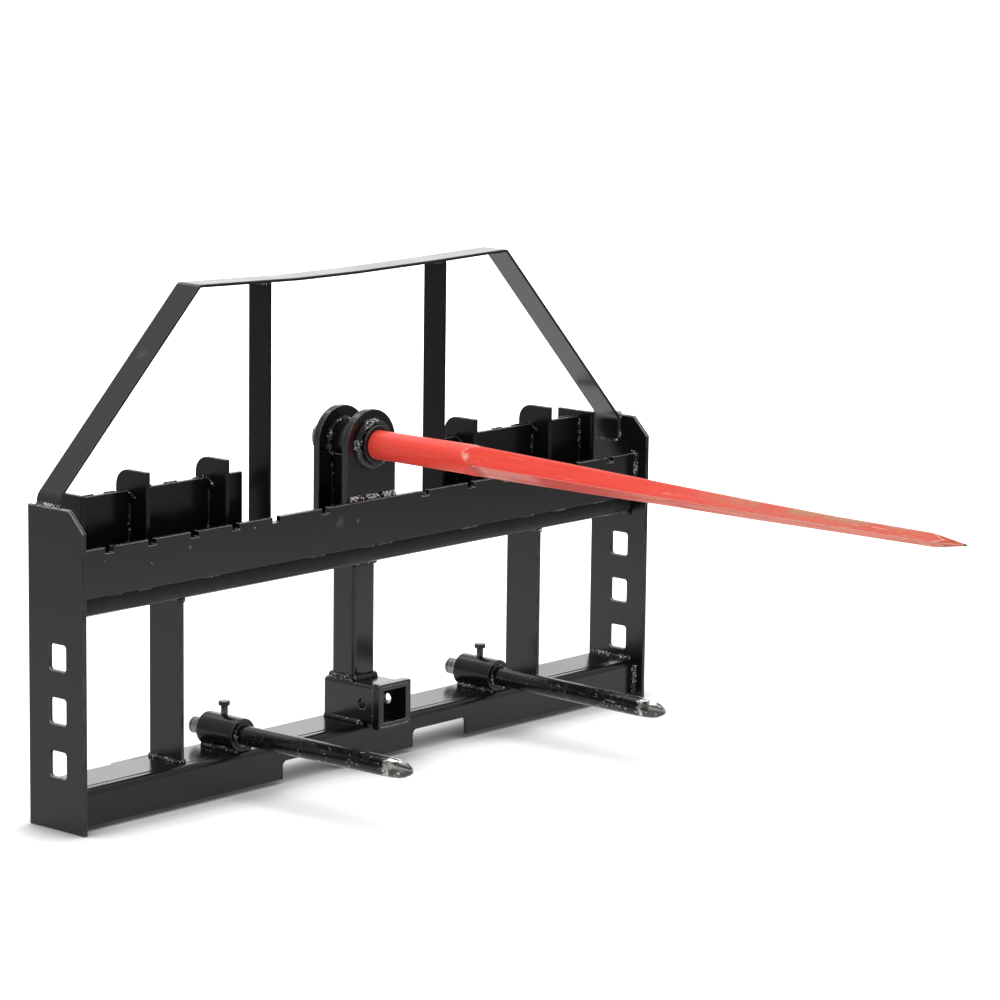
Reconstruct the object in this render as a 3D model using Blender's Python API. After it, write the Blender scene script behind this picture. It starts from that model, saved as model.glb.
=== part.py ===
"""Bale spear: a long forged spear and two stabiliser spears on a notched fork
frame, which hooks onto the quick coupler of a loader.

Frame of the part: X runs along the frame, the spears point to -Y, the loader
is on the +Y side, and Z is up from the ground.  All places below are measured
from the middle of the frame, the front edge of the side plates and the ground.
One empty carries every piece and sets the origin under the middle of the box.
"""
import math

import bmesh
import bpy
from mathutils import Matrix, Vector

MM = 0.001

# Clearances and finishes that many pieces share
GAP = 0.3 * MM                  # left between two pieces that touch
OVERRUN = 4.0 * MM              # how far a cutter passes the piece that it cuts
BROKEN_EDGE = 0.8 * MM          # chamfer of a sheared or flame cut edge
MERGE = 0.001 * MM
ROUND_SEGMENTS = 40             # sides of a large round piece
BOLT_SEGMENTS = 20              # sides of a small one

# Frame
FRAME_WIDTH = 1262.0 * MM       # over the two side plates
GROUND_CLEARANCE = 7.0 * MM     # side plates stand this far below the bottom rail
CARRIAGE_HEIGHT = 406.0 * MM    # bottom rail's lower edge to fork bar's top edge

# Side plates
PLATE_DEPTH = 117.0 * MM
PLATE_RISE = 60.5 * MM          # plates stand this far above the fork bar
PLATE_THICKNESS = 6.35 * MM
PLATE_CHAMFER = 30.0 * MM
WINDOW_COUNT = 3
WINDOW_WIDTH = 34.5 * MM
WINDOW_HEIGHT = 38.5 * MM
WINDOW_PITCH = 79.0 * MM
WINDOW_RADIUS = 5.0 * MM
WINDOW_FIRST_HEIGHT = 98.0 * MM # centre of the lowest window
WINDOW_CENTRE_SHARE = 0.474     # of the plate's depth, from its front edge

# Bottom rail, a folded angle with its flange on top and its leg in front
RAIL_FRONT = 18.0 * MM          # leg's face behind the plates' front edge
RAIL_DEPTH = 89.5 * MM
RAIL_HEIGHT = 56.0 * MM
RAIL_THICKNESS = 6.35 * MM
RAIL_BEND = 6.4 * MM            # bend radius at the middle of the sheet
FORK_NOTCH_WIDTH = 124.0 * MM
FORK_NOTCH_HEIGHT = 28.0 * MM
FORK_NOTCH_RADIUS = 8.0 * MM
FORK_NOTCH_SPACING = 290.0 * MM # centre to centre

# Top rail, a square tube with the notched fork bar on its front
TUBE_SIZE = 76.2 * MM
TUBE_WALL = 6.35 * MM
TUBE_CORNER = 9.5 * MM
BAR_HEIGHT = 72.0 * MM
BAR_THICKNESS = 9.5 * MM
BAR_FRONT = 22.4 * MM           # bar's face behind the plates' front edge
BAR_LIP = 25.5 * MM             # bar stands this far above the tube
STOP_WIDTH = 15.9 * MM          # notch that a fork's latch pin drops into
STOP_DEPTH = 9.0 * MM
STOP_PITCH = 85.2 * MM
STOP_END_DISTANCE = 65.7 * MM   # outermost one from the side plate
STOP_OUTER_COUNT = 5            # evenly pitched, on each side
STOP_INNER_PITCH = 106.2 * MM   # to the odd one beside the spear

# Uprights between the rails
UPRIGHT_SPACING = 801.0 * MM
UPRIGHT_WIDTH = 68.0 * MM
UPRIGHT_THICKNESS = 6.35 * MM

# Receiver tube and the post over it
RECEIVER_OUTER = 63.5 * MM
RECEIVER_INNER = 50.8 * MM
RECEIVER_CORNER = 6.0 * MM
RECEIVER_BORE_CORNER = 2.5 * MM
RECEIVER_LENGTH = 120.0 * MM
RECEIVER_OVERHANG = 19.0 * MM   # in front of the side plates
COLLAR_WALL = 4.0 * MM          # ring that stiffens the receiver's mouth
COLLAR_DEPTH = 13.0 * MM
COLLAR_CORNER = 3.5 * MM
HITCH_PIN_HOLE = 16.7 * MM
HITCH_PIN_SETBACK = 40.0 * MM   # hole's centre from the mouth
POST_SIZE = 48.0 * MM
POST_WALL = 4.8 * MM
POST_CORNER = 6.0 * MM

# Ears and socket that hold the main spear
SPEAR_RISE = 85.0 * MM          # its axis above the fork bar
EAR_WIDTH = 107.0 * MM
EAR_THICKNESS = 12.7 * MM
SOCKET_OUTER = 60.3 * MM
SOCKET_FRONT = 20.0 * MM        # socket's mouth behind the plates' front edge
SOCKET_LENGTH = 98.0 * MM

# Main spear: thread, cone, round neck, then a forged square that tapers
SPEAR_REACH = 1079.0 * MM       # its point in front of the side plates
SPEAR_ROUND = 45.0 * MM         # diameter at the socket's mouth
SPEAR_CONE_SMALL = 33.0 * MM    # diameter at the socket's rear end
THREAD_DIAMETER = 28.0 * MM
THREAD_LENGTH = 28.5 * MM
THREAD_CHAMFER = 2.0 * MM
NECK_END = 167.0 * MM           # round neck ends this far in front of the plates
POINT_FLAT = 2.4 * MM           # over the corners at the very tip
NECK_SWELL = 0.4 * MM           # growth in radius along the round neck
CORNER_BLUNT_SHARE = 0.965      # forged corners are this share of sharp ones
FORGED_ROLL = math.radians(8.0) # turn of the square from standing on its edge
SECTION_POINTS = 40
SHOULDER_STEPS = 5
# Forged square: place in front of the plates, size over corners, droop
FORGED_SECTIONS = ((196.0 * MM, 48.0 * MM, 0.6 * MM), (390.0 * MM, 41.6 * MM, 3.0 * MM),
                   (540.0 * MM, 35.0 * MM, 4.8 * MM), (700.0 * MM, 29.2 * MM, 7.0 * MM),
                   (860.0 * MM, 23.6 * MM, 8.3 * MM), (1026.0 * MM, 20.8 * MM, 8.3 * MM))
NUT_FLATS = 41.0 * MM
NUT_HEIGHT = 24.0 * MM

# Guard over the frame
GUARD_WIDTH = 48.0 * MM
GUARD_THICKNESS = 4.8 * MM
GUARD_FRONT = 58.0 * MM
GUARD_RISE = 297.0 * MM         # its highest end above the side plates
GUARD_TAB_LENGTH = 44.0 * MM    # welded to the side plate
GUARD_FOOT_BEND = 20.0 * MM
GUARD_TOP_BEND = 8.0 * MM
LEFT_KNEE_RISE = 11.7 * MM      # hand bent: the left knee is above the side plate
RIGHT_KNEE_DROP = 4.4 * MM      # and the right one is below its top
# Its top bar from the left bend to the right one: place, drop below its highest end
GUARD_TOP = ((-342.1 * MM, 0.0 * MM), (-282.0 * MM, 1.9 * MM), (-135.0 * MM, 6.5 * MM),
             (-4.0 * MM, 6.7 * MM), (177.0 * MM, 3.7 * MM), (290.0 * MM, 0.8 * MM),
             (336.3 * MM, 0.2 * MM))
STRUT_PLACES = {"left": -196.2 * MM, "right": 191.9 * MM}
STRUT_WIDTH = 44.8 * MM
STRUT_THICKNESS = 4.8 * MM

# Quick coupler hooks and their gussets
HOOK_THICKNESS = 8.0 * MM
HOOK_FRONT = 94.5 * MM
HOOK_LIP_REACH = 30.0 * MM      # the sloping lip's end behind the plate
HOOK_INNER_END = 219.0 * MM     # from the middle of the frame
GUSSET_THICKNESS = 8.0 * MM
GUSSET_FRONT = 58.0 * MM
GUSSET_DEPTH = 66.0 * MM
GUSSET_RISE = 30.0 * MM         # above the side plates
GUSSET_RADIUS = 25.0 * MM
GUSSET_PLACES = {"left_outer": -448.4 * MM, "left_inner": -285.9 * MM,
                 "right_inner": 267.7 * MM, "right_outer": 448.4 * MM}
END_GUSSET_DISTANCE = 57.5 * MM # its middle from the side plate
END_GUSSET_FRONT = 69.0 * MM
END_GUSSET_DEPTH = 73.0 * MM
END_GUSSET_RISE = 8.5 * MM
END_GUSSET_TAIL = 46.0 * MM     # height of its back edge
LATCH_LENGTH = 120.0 * MM
LATCH_OVERHANG = 26.0 * MM      # behind the bottom rail
LATCH_OVERLAP = 60.0 * MM       # under the bottom rail
LATCH_THICKNESS = 8.0 * MM
LATCH_SLOT_LENGTH = 44.0 * MM
LATCH_SLOT_WIDTH = 14.0 * MM
LATCH_CORNER = 8.0 * MM

# Stabiliser spears in their sleeves
STABILISER_SPACING = 576.0 * MM
STABILISER_DIAMETER = 30.2 * MM
STABILISER_PLAY = 0.8 * MM      # radial clearance in its sleeve
STABILISER_LIFTS = {"left": math.radians(0.6), "right": math.radians(-0.48)}
STABILISER_REACH = 325.0 * MM   # its point in front of the side plates
STABILISER_POINT = 55.0 * MM
STABILISER_STUB = 26.0 * MM     # turned end behind the sleeve
STABILISER_STUB_LENGTH = 30.0 * MM
STUB_CHAMFER = 1.5 * MM
SLEEVE_OUTER = 50.8 * MM
SLEEVE_LENGTH = 76.2 * MM
SLEEVE_FRONT = 22.5 * MM
BOLT_DIAMETER = 10.0 * MM
BOLT_FLATS = 16.0 * MM
BOLT_HEAD = 6.9 * MM
BOLT_STAND = 14.5 * MM          # head's underside above the sleeve
BOLT_PLACE_SHARE = 0.53         # of the sleeve's length, from its front

# Shape of a short spear's point: share of its length, share of its radius
POINT_SHARES = ((0.0, 1.0), (0.3, 0.97), (0.55, 0.89), (0.72, 0.73), (0.875, 0.46), (0.955, 0.25))

# Worked out from the sizes above
HALF_WIDTH = FRAME_WIDTH / 2
INNER_FACE = HALF_WIDTH - PLATE_THICKNESS
BAR_TOP = GROUND_CLEARANCE + CARRIAGE_HEIGHT
PLATE_HEIGHT = BAR_TOP + PLATE_RISE
SPEAR_HEIGHT = BAR_TOP + SPEAR_RISE
GUARD_HEIGHT = PLATE_HEIGHT + GUARD_RISE
END_GUSSET_PLACE = INNER_FACE - END_GUSSET_DISTANCE
TUBE_TOP = BAR_TOP - BAR_LIP
TUBE_BOTTOM = TUBE_TOP - TUBE_SIZE
TUBE_FRONT = BAR_FRONT + BAR_THICKNESS + GAP
TUBE_MIDDLE = TUBE_FRONT + TUBE_SIZE / 2
RAIL_TOP = GROUND_CLEARANCE + RAIL_HEIGHT
RECEIVER_BOTTOM = RAIL_TOP + GAP
RECEIVER_AXIS = RECEIVER_BOTTOM + RECEIVER_OUTER / 2
RECEIVER_TOP = RECEIVER_BOTTOM + RECEIVER_OUTER
POST_BACK = TUBE_MIDDLE + POST_SIZE / 2
POST_FRONT = TUBE_MIDDLE - POST_SIZE / 2
REAR_EAR_FRONT = POST_BACK + GAP
FRONT_EAR_FRONT = POST_FRONT - GAP - EAR_THICKNESS
SOCKET_BACK = SOCKET_FRONT + SOCKET_LENGTH
SPEAR_BACK = SOCKET_BACK + THREAD_LENGTH
SLEEVE_AXIS = RAIL_TOP + GAP + SLEEVE_OUTER / 2
HOOK_TOP = PLATE_HEIGHT
HOOK_BACK = HOOK_FRONT + HOOK_THICKNESS
ORIGIN_SHIFT = (SPEAR_REACH - SPEAR_BACK) / 2


def clear_scene():
    """Remove every object, so that the script also runs in an open file."""
    for old in list(bpy.data.objects):
        bpy.data.objects.remove(old, do_unlink=True)


def make_material(name, colour, roughness, metallic):
    """A Principled material in the piece's own colour."""
    material = bpy.data.materials.new(name)
    material.use_nodes = True
    material.diffuse_color = (*colour, 1.0)
    shader = material.node_tree.nodes["Principled BSDF"]
    shader.inputs["Base Color"].default_value = (*colour, 1.0)
    shader.inputs["Roughness"].default_value = roughness
    shader.inputs["Metallic"].default_value = metallic
    return material


def black_paint(name):
    """Gloss black powder coat, a material of the piece's own."""
    return make_material(name + "_paint", (0.02, 0.02, 0.021), 0.32, 0.0)


def red_paint(name):
    """The orange red that a forged spear is dipped in."""
    return make_material(name + "_paint", (0.78, 0.07, 0.04), 0.4, 0.0)


def zinc_steel(name):
    """Bare or plated steel of a nut or bolt."""
    return make_material(name + "_steel", (0.3, 0.3, 0.31), 0.4, 1.0)


def add_piece(name, mesh_builder, finish, carrier, smooth=False):
    """Turn a bmesh into a named object that the frame's empty carries."""
    bmesh.ops.remove_doubles(mesh_builder, verts=mesh_builder.verts, dist=MERGE)
    bmesh.ops.recalc_face_normals(mesh_builder, faces=mesh_builder.faces)
    mesh = bpy.data.meshes.new(name)
    mesh_builder.to_mesh(mesh)
    mesh_builder.free()
    piece = bpy.data.objects.new(name, mesh)
    bpy.context.scene.collection.objects.link(piece)
    if smooth:
        mesh.shade_smooth()
        mesh.set_sharp_from_angle(angle=math.radians(35.0))
    if finish is not None:
        mesh.materials.append(finish(name))
    piece.parent = carrier
    return piece


def add_cutter(name, mesh_builder, carrier):
    """A shape that only cuts: it shows as wire and never renders."""
    cutter = add_piece(name, mesh_builder, None, carrier)
    cutter.display_type = "WIRE"
    cutter.hide_render = True
    return cutter


def combine(piece, cutter, operation="DIFFERENCE"):
    """Cut, join or intersect a piece with another shape."""
    modifier = piece.modifiers.new(operation.lower(), "BOOLEAN")
    modifier.operation = operation
    modifier.object = cutter
    modifier.solver = "EXACT"


def break_edges(piece, width=BROKEN_EDGE):
    """Chamfer the sharp edges a little, as a grinder leaves them."""
    modifier = piece.modifiers.new("broken edges", "BEVEL")
    modifier.width = width
    modifier.segments = 1
    modifier.limit_method = "ANGLE"
    modifier.angle_limit = math.radians(40.0)
    modifier.use_clamp_overlap = True


def placed(axis, a, b, along):
    """A point of an outline (a, b) at a distance along the extrusion's axis."""
    if axis == "X":
        return Vector((along, a, b))
    if axis == "Y":
        return Vector((a, along, b))
    return Vector((a, b, along))


def extruded(outline, axis, start, length):
    """Extrude a closed outline along an axis, from start over a length."""
    builder = bmesh.new()
    corners = [builder.verts.new(placed(axis, a, b, start)) for a, b in outline]
    face = builder.faces.new(corners)
    grown = bmesh.ops.extrude_face_region(builder, geom=[face])
    moved = [part for part in grown["geom"] if isinstance(part, bmesh.types.BMVert)]
    bmesh.ops.translate(builder, verts=moved, vec=placed(axis, 0, 0, length))
    return builder


def hollow_bar(outer, inner, axis, start, length):
    """A tube: two outlines with as many points, bridged at both ends."""
    builder = bmesh.new()
    loops = []
    for outline in (outer, inner):
        for along in (start, start + length):
            ring = [builder.verts.new(placed(axis, a, b, along)) for a, b in outline]
            loops.append(ring)
    outer_near, outer_far, inner_near, inner_far = loops
    pairs = ((outer_near, outer_far), (inner_near, inner_far),
             (outer_near, inner_near), (outer_far, inner_far))
    for first, second in pairs:
        for index in range(len(first)):
            nxt = (index + 1) % len(first)
            builder.faces.new((first[index], first[nxt], second[nxt], second[index]))
    return builder


def turned(profile, axis, centre, segments=ROUND_SEGMENTS, closed=False):
    """Spin a profile of (place along the axis, radius) round that axis."""
    builder = bmesh.new()
    side = Vector((1, 0, 0)) if axis != "X" else Vector((0, 0, 1))
    direction = placed(axis, 0, 0, 1)
    points = [builder.verts.new(centre + direction * along + side * radius)
              for along, radius in profile]
    edges = [builder.edges.new(pair) for pair in zip(points, points[1:])]
    if closed:
        edges.append(builder.edges.new((points[-1], points[0])))
    bmesh.ops.spin(builder, geom=points + edges, cent=centre, axis=direction,
                   angle=math.tau, steps=segments, use_merge=True)
    return builder


def rod(axis, centre, start, end, radius, segments=ROUND_SEGMENTS):
    """A plain round bar, used for cutters."""
    profile = ((start, 0), (start, radius), (end, radius), (end, 0))
    return turned(profile, axis, centre, segments)


def arc(centre, radius, first, last, steps):
    """Points of an arc from one angle to another."""
    turns = [first + (last - first) * step / steps for step in range(steps + 1)]
    return [(centre[0] + radius * math.cos(turn), centre[1] + radius * math.sin(turn))
            for turn in turns]


def rectangle(width, height, centre=(0, 0)):
    """Corners of a rectangle round its centre."""
    a, b = centre
    return [(a - width / 2, b - height / 2), (a + width / 2, b - height / 2),
            (a + width / 2, b + height / 2), (a - width / 2, b + height / 2)]


def rounded_rectangle(width, height, radius, centre=(0, 0), steps=4):
    """A rectangle with four round corners."""
    points = []
    quarter = math.pi / 2
    for turn, (a, b) in enumerate(((1, 1), (-1, 1), (-1, -1), (1, -1))):
        middle = (centre[0] + a * (width / 2 - radius), centre[1] + b * (height / 2 - radius))
        points += arc(middle, radius, turn * quarter, (turn + 1) * quarter, steps)
    return points


def filleted(path, radii, steps=5):
    """An open path whose inner corners are rounded by the given radii."""
    points = [path[0]]
    for before, corner, after, radius in zip(path, path[1:], path[2:], radii):
        if radius == 0:
            points.append(corner)
            continue
        back = (Vector(before) - Vector(corner)).normalized()
        ahead = (Vector(after) - Vector(corner)).normalized()
        half = back.angle(ahead) / 2
        reach = radius / math.tan(half)
        middle = Vector(corner) + (back + ahead).normalized() * (radius / math.sin(half))
        start = Vector(corner) + back * reach - middle
        sweep = (math.pi - 2 * half) * (1 if back.cross(ahead) < 0 else -1)
        for step in range(steps + 1):
            point = middle + Matrix.Rotation(sweep * step / steps, 2) @ start
            points.append(tuple(point))
    return points + [path[-1]]


def strip(path, thickness):
    """The outline of a sheet of one thickness that follows a path."""
    points = [Vector(point) for point in path]
    left, right = [], []
    for index, point in enumerate(points):
        before = points[max(index - 1, 0)]
        after = points[min(index + 1, len(points) - 1)]
        into = (point - before).normalized() if index else (after - point).normalized()
        out = (after - point).normalized() if index < len(points) - 1 else into
        normal = Vector((-into.y - out.y, into.x + out.x)).normalized()
        stretch = 1 / max(normal.dot(Vector((-into.y, into.x))), math.cos(math.pi / 4))
        left.append(tuple(point + normal * stretch * thickness / 2))
        right.append(tuple(point - normal * stretch * thickness / 2))
    return left + right[::-1]


def hexagon(flats, centre):
    """A hexagon with two flats facing left and right."""
    radius = flats / math.sqrt(3)
    turns = [math.pi / 6 + math.pi / 3 * corner for corner in range(6)]
    return [(centre[0] + radius * math.cos(turn), centre[1] + radius * math.sin(turn))
            for turn in turns]


def both_sides():
    """The name and the sign of X of the left and the right half."""
    return (("left", -1), ("right", 1))


def side_plates(carrier):
    """Two end plates with a cut corner and a column of windows."""
    outline = [(0, 0), (PLATE_DEPTH, 0), (PLATE_DEPTH, PLATE_HEIGHT),
               (PLATE_CHAMFER, PLATE_HEIGHT), (0, PLATE_HEIGHT - PLATE_CHAMFER)]
    for side, sign in both_sides():
        inner = sign * INNER_FACE
        builder = extruded(outline, "X", inner, sign * PLATE_THICKNESS)
        plate = add_piece(side + "_side_plate", builder, black_paint, carrier)
        for number in range(WINDOW_COUNT):
            height = WINDOW_FIRST_HEIGHT + number * WINDOW_PITCH
            centre = (PLATE_DEPTH * WINDOW_CENTRE_SHARE, height)
            window = rounded_rectangle(WINDOW_WIDTH, WINDOW_HEIGHT, WINDOW_RADIUS, centre)
            start = inner - sign * OVERRUN
            builder = extruded(window, "X", start, sign * (PLATE_THICKNESS + 2 * OVERRUN))
            name = f"{side}_window_cutter_{number + 1}"
            combine(plate, add_cutter(name, builder, carrier))
        break_edges(plate)


def bottom_rail(carrier):
    """A folded angle: flange on top, leg in front, two notches for the forks' hooks."""
    half = RAIL_THICKNESS / 2
    path = [(RAIL_FRONT + half, GROUND_CLEARANCE), (RAIL_FRONT + half, RAIL_TOP - half),
            (RAIL_FRONT + RAIL_DEPTH, RAIL_TOP - half)]
    section = strip(filleted(path, [RAIL_BEND]), RAIL_THICKNESS)
    reach = INNER_FACE - GAP
    rail = add_piece("bottom_rail", extruded(section, "X", -reach, 2 * reach), black_paint, carrier)
    for side, sign in both_sides():
        left = sign * FORK_NOTCH_SPACING / 2 - FORK_NOTCH_WIDTH / 2
        right = left + FORK_NOTCH_WIDTH
        top = GROUND_CLEARANCE + FORK_NOTCH_HEIGHT
        below = GROUND_CLEARANCE - OVERRUN
        radius = FORK_NOTCH_RADIUS
        outline = [(left, below), (right, below)]
        outline += arc((right - radius, top - radius), radius, 0, math.pi / 2, 4)
        outline += arc((left + radius, top - radius), radius, math.pi / 2, math.pi, 4)
        builder = extruded(outline, "Y", RAIL_FRONT - OVERRUN, RAIL_THICKNESS + 2 * OVERRUN)
        combine(rail, add_cutter(side + "_fork_notch_cutter", builder, carrier))
    break_edges(rail)


def stop_places():
    """Where the notches in the fork bar's top edge are, from left to right."""
    outermost = INNER_FACE - STOP_END_DISTANCE
    places = [outermost - number * STOP_PITCH for number in range(STOP_OUTER_COUNT)]
    places.append(places[-1] - STOP_INNER_PITCH)
    return [-place for place in places] + places[::-1]


def top_rail(carrier):
    """A square tube and the notched bar that the forks hang on."""
    reach = INNER_FACE - GAP
    middle = (TUBE_MIDDLE, TUBE_TOP - TUBE_SIZE / 2)
    outer = rounded_rectangle(TUBE_SIZE, TUBE_SIZE, TUBE_CORNER, middle)
    bore = TUBE_SIZE - 2 * TUBE_WALL
    inner = rounded_rectangle(bore, bore, TUBE_CORNER - TUBE_WALL, middle)
    builder = hollow_bar(outer, inner, "X", -reach, 2 * reach)
    add_piece("top_rail_tube", builder, black_paint, carrier)
    outline = [(-reach, BAR_TOP - BAR_HEIGHT), (reach, BAR_TOP - BAR_HEIGHT), (reach, BAR_TOP)]
    for place in reversed(stop_places()):
        right = place + STOP_WIDTH / 2
        left = place - STOP_WIDTH / 2
        floor = BAR_TOP - STOP_DEPTH
        outline += [(right, BAR_TOP), (right, floor), (left, floor), (left, BAR_TOP)]
    outline.append((-reach, BAR_TOP))
    builder = extruded(outline, "Y", BAR_FRONT, BAR_THICKNESS)
    break_edges(add_piece("top_fork_bar", builder, black_paint, carrier))


def uprights(carrier):
    """Two flat bars on edge between the rails."""
    bottom = RAIL_TOP + GAP
    height = TUBE_BOTTOM - GAP - bottom
    outline = rectangle(UPRIGHT_WIDTH, height, (TUBE_MIDDLE, bottom + height / 2))
    for side, sign in both_sides():
        start = sign * UPRIGHT_SPACING / 2 - UPRIGHT_THICKNESS / 2
        builder = extruded(outline, "X", start, UPRIGHT_THICKNESS)
        break_edges(add_piece(side + "_upright", builder, black_paint, carrier))


def receiver_and_posts(carrier):
    """The hitch receiver, the post over it, and the post's upper length."""
    middle = (0, RECEIVER_AXIS)
    outer = rounded_rectangle(RECEIVER_OUTER, RECEIVER_OUTER, RECEIVER_CORNER, middle)
    inner = rounded_rectangle(RECEIVER_INNER, RECEIVER_INNER, RECEIVER_BORE_CORNER, middle)
    builder = hollow_bar(outer, inner, "Y", -RECEIVER_OVERHANG, RECEIVER_LENGTH)
    receiver = add_piece("receiver_tube", builder, black_paint, carrier)
    reach = RECEIVER_OUTER / 2 + OVERRUN
    centre = Vector((0, HITCH_PIN_SETBACK - RECEIVER_OVERHANG, RECEIVER_AXIS))
    pin = rod("X", centre, -reach, reach, HITCH_PIN_HOLE / 2, BOLT_SEGMENTS)
    combine(receiver, add_cutter("hitch_pin_cutter", pin, carrier))
    hole = RECEIVER_OUTER + 2 * GAP
    over = hole + 2 * COLLAR_WALL
    outer = rounded_rectangle(over, over, COLLAR_CORNER, middle)
    inner = rounded_rectangle(hole, hole, RECEIVER_CORNER, middle)
    builder = hollow_bar(outer, inner, "Y", -RECEIVER_OVERHANG, COLLAR_DEPTH)
    add_piece("receiver_collar", builder, black_paint, carrier)
    centre = (0, TUBE_MIDDLE)
    outer = rounded_rectangle(POST_SIZE, POST_SIZE, POST_CORNER, centre)
    bore = POST_SIZE - 2 * POST_WALL
    inner = rounded_rectangle(bore, bore, POST_CORNER - POST_WALL, centre)
    bottom = RECEIVER_TOP + GAP
    builder = hollow_bar(outer, inner, "Z", bottom, TUBE_BOTTOM - GAP - bottom)
    add_piece("centre_post", builder, black_paint, carrier)
    bottom = TUBE_TOP + GAP
    builder = hollow_bar(outer, inner, "Z", bottom, SPEAR_HEIGHT - SOCKET_OUTER / 4 - bottom)
    upper = add_piece("upper_post", builder, black_paint, carrier)
    axis = Vector((0, 0, SPEAR_HEIGHT))
    saddle = rod("Y", axis, POST_FRONT - OVERRUN, POST_BACK + OVERRUN, SOCKET_OUTER / 2 + GAP)
    combine(upper, add_cutter("saddle_cutter", saddle, carrier))


def ears(carrier):
    """Round-topped plates before and behind the upper post, bored for the socket."""
    half = EAR_WIDTH / 2
    bottom = TUBE_TOP + GAP
    outline = [(-half, bottom), (half, bottom)]
    outline += arc((0, SPEAR_HEIGHT), half, 0, math.pi, 20)
    for name, front in (("front", FRONT_EAR_FRONT), ("rear", REAR_EAR_FRONT)):
        builder = extruded(outline, "Y", front, EAR_THICKNESS)
        ear = add_piece(name + "_spear_ear", builder, black_paint, carrier)
        axis = Vector((0, 0, SPEAR_HEIGHT))
        back = front + EAR_THICKNESS
        bore = rod("Y", axis, front - OVERRUN, back + OVERRUN, SOCKET_OUTER / 2 + GAP)
        combine(ear, add_cutter(name + "_ear_bore_cutter", bore, carrier))
        break_edges(ear)


def socket(carrier):
    """The spear's socket, with a tapered bore that the spear's cone seats in."""
    outer = SOCKET_OUTER / 2
    mouth = SPEAR_ROUND / 2 + GAP
    rear = SPEAR_CONE_SMALL / 2 + GAP
    profile = [(SOCKET_FRONT, mouth), (SOCKET_FRONT, outer - BROKEN_EDGE),
               (SOCKET_FRONT + BROKEN_EDGE, outer), (SOCKET_BACK - BROKEN_EDGE, outer),
               (SOCKET_BACK, outer - BROKEN_EDGE), (SOCKET_BACK, rear)]
    builder = turned(profile, "Y", Vector((0, 0, SPEAR_HEIGHT)), closed=True)
    add_piece("spear_socket", builder, black_paint, carrier, smooth=True)


def spear_section(builder, place, flat, corner, droop=0):
    """One section of the spear: a square of half width flat, cut by a circle.

    With flat as large as corner the section is the circle itself, so a row of
    sections grows from round to square and leaves the arcs of a forged shoulder.
    """
    ring = []
    for index in range(SECTION_POINTS):
        turn = math.tau * index / SECTION_POINTS
        from_face = (turn + math.pi / 4) % (math.pi / 2) - math.pi / 4
        radius = min(flat / math.cos(from_face), corner)
        angle = turn + math.pi / 4 + FORGED_ROLL
        x = radius * math.cos(angle)
        z = SPEAR_HEIGHT - droop + radius * math.sin(angle)
        ring.append(builder.verts.new((x, place, z)))
    return ring


def forged_square(place, over_corners, droop):
    """Place, half width, corner radius and droop of a section of the square."""
    corner = over_corners / 2
    return -place, corner / CORNER_BLUNT_SHARE / math.sqrt(2), corner, droop


def spear_stations():
    """Every section of the spear, from the thread's end to the tip."""
    thread = THREAD_DIAMETER / 2
    small = SPEAR_CONE_SMALL / 2
    large = SPEAR_ROUND / 2
    neck = large + NECK_SWELL
    tight = thread - THREAD_CHAMFER
    stations = [(SPEAR_BACK, tight, tight), (SPEAR_BACK - THREAD_CHAMFER, thread, thread),
                (SOCKET_BACK, thread, thread), (SOCKET_BACK, small, small),
                (SOCKET_FRONT, large, large), (-NECK_END, neck, neck)]
    start, flat, corner, droop = forged_square(*FORGED_SECTIONS[0])
    for step in range(1, SHOULDER_STEPS):
        share = step / SHOULDER_STEPS
        stations.append((-NECK_END + (start + NECK_END) * share, neck + (flat - neck) * share,
                         neck + (corner - neck) * share, droop * share))
    stations += [forged_square(*section) for section in FORGED_SECTIONS]
    stations.append((-SPEAR_REACH, POINT_FLAT / 2 / math.sqrt(2), POINT_FLAT / 2,
                     FORGED_SECTIONS[-1][-1]))
    return stations


def main_spear(carrier):
    """One forging, lofted through its sections: thread, cone, neck, square, point."""
    builder = bmesh.new()
    rings = [spear_section(builder, *station) for station in spear_stations()]
    for first, second in zip(rings, rings[1:]):
        for index in range(SECTION_POINTS):
            nxt = (index + 1) % SECTION_POINTS
            builder.faces.new((first[index], first[nxt], second[nxt], second[index]))
    builder.faces.new(rings[0])
    builder.faces.new(rings[-1])
    spear = add_piece("main_spear", builder, red_paint, carrier)
    spear.data.shade_smooth()
    spear.data.set_sharp_from_angle(angle=math.radians(20.0))


def chamfered_hexagon(name, flats, axis, centre, start, length, finish, carrier):
    """A hexagon prism whose corners are turned down to a cone at both ends."""
    hexagonal = hexagon(flats, (centre.x, centre.z if axis == "Y" else centre.y))
    piece = add_piece(name, extruded(hexagonal, axis, start, length), finish, carrier)
    corner = flats / math.sqrt(3)
    slope = (corner - flats / 2) * math.tan(math.radians(30.0))
    wide = corner + BROKEN_EDGE
    drop = slope * (wide - flats / 2) / (corner - flats / 2)
    profile = ((start, 0), (start, flats / 2), (start + drop, wide),
               (start + length - drop, wide), (start + length, flats / 2), (start + length, 0))
    along = Vector((centre.x, 0, centre.z)) if axis == "Y" else Vector((centre.x, centre.y, 0))
    turned_down = turned(profile, axis, along, BOLT_SEGMENTS)
    combine(piece, add_cutter(name + "_corner_turning", turned_down, carrier), "INTERSECT")
    return piece


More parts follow.
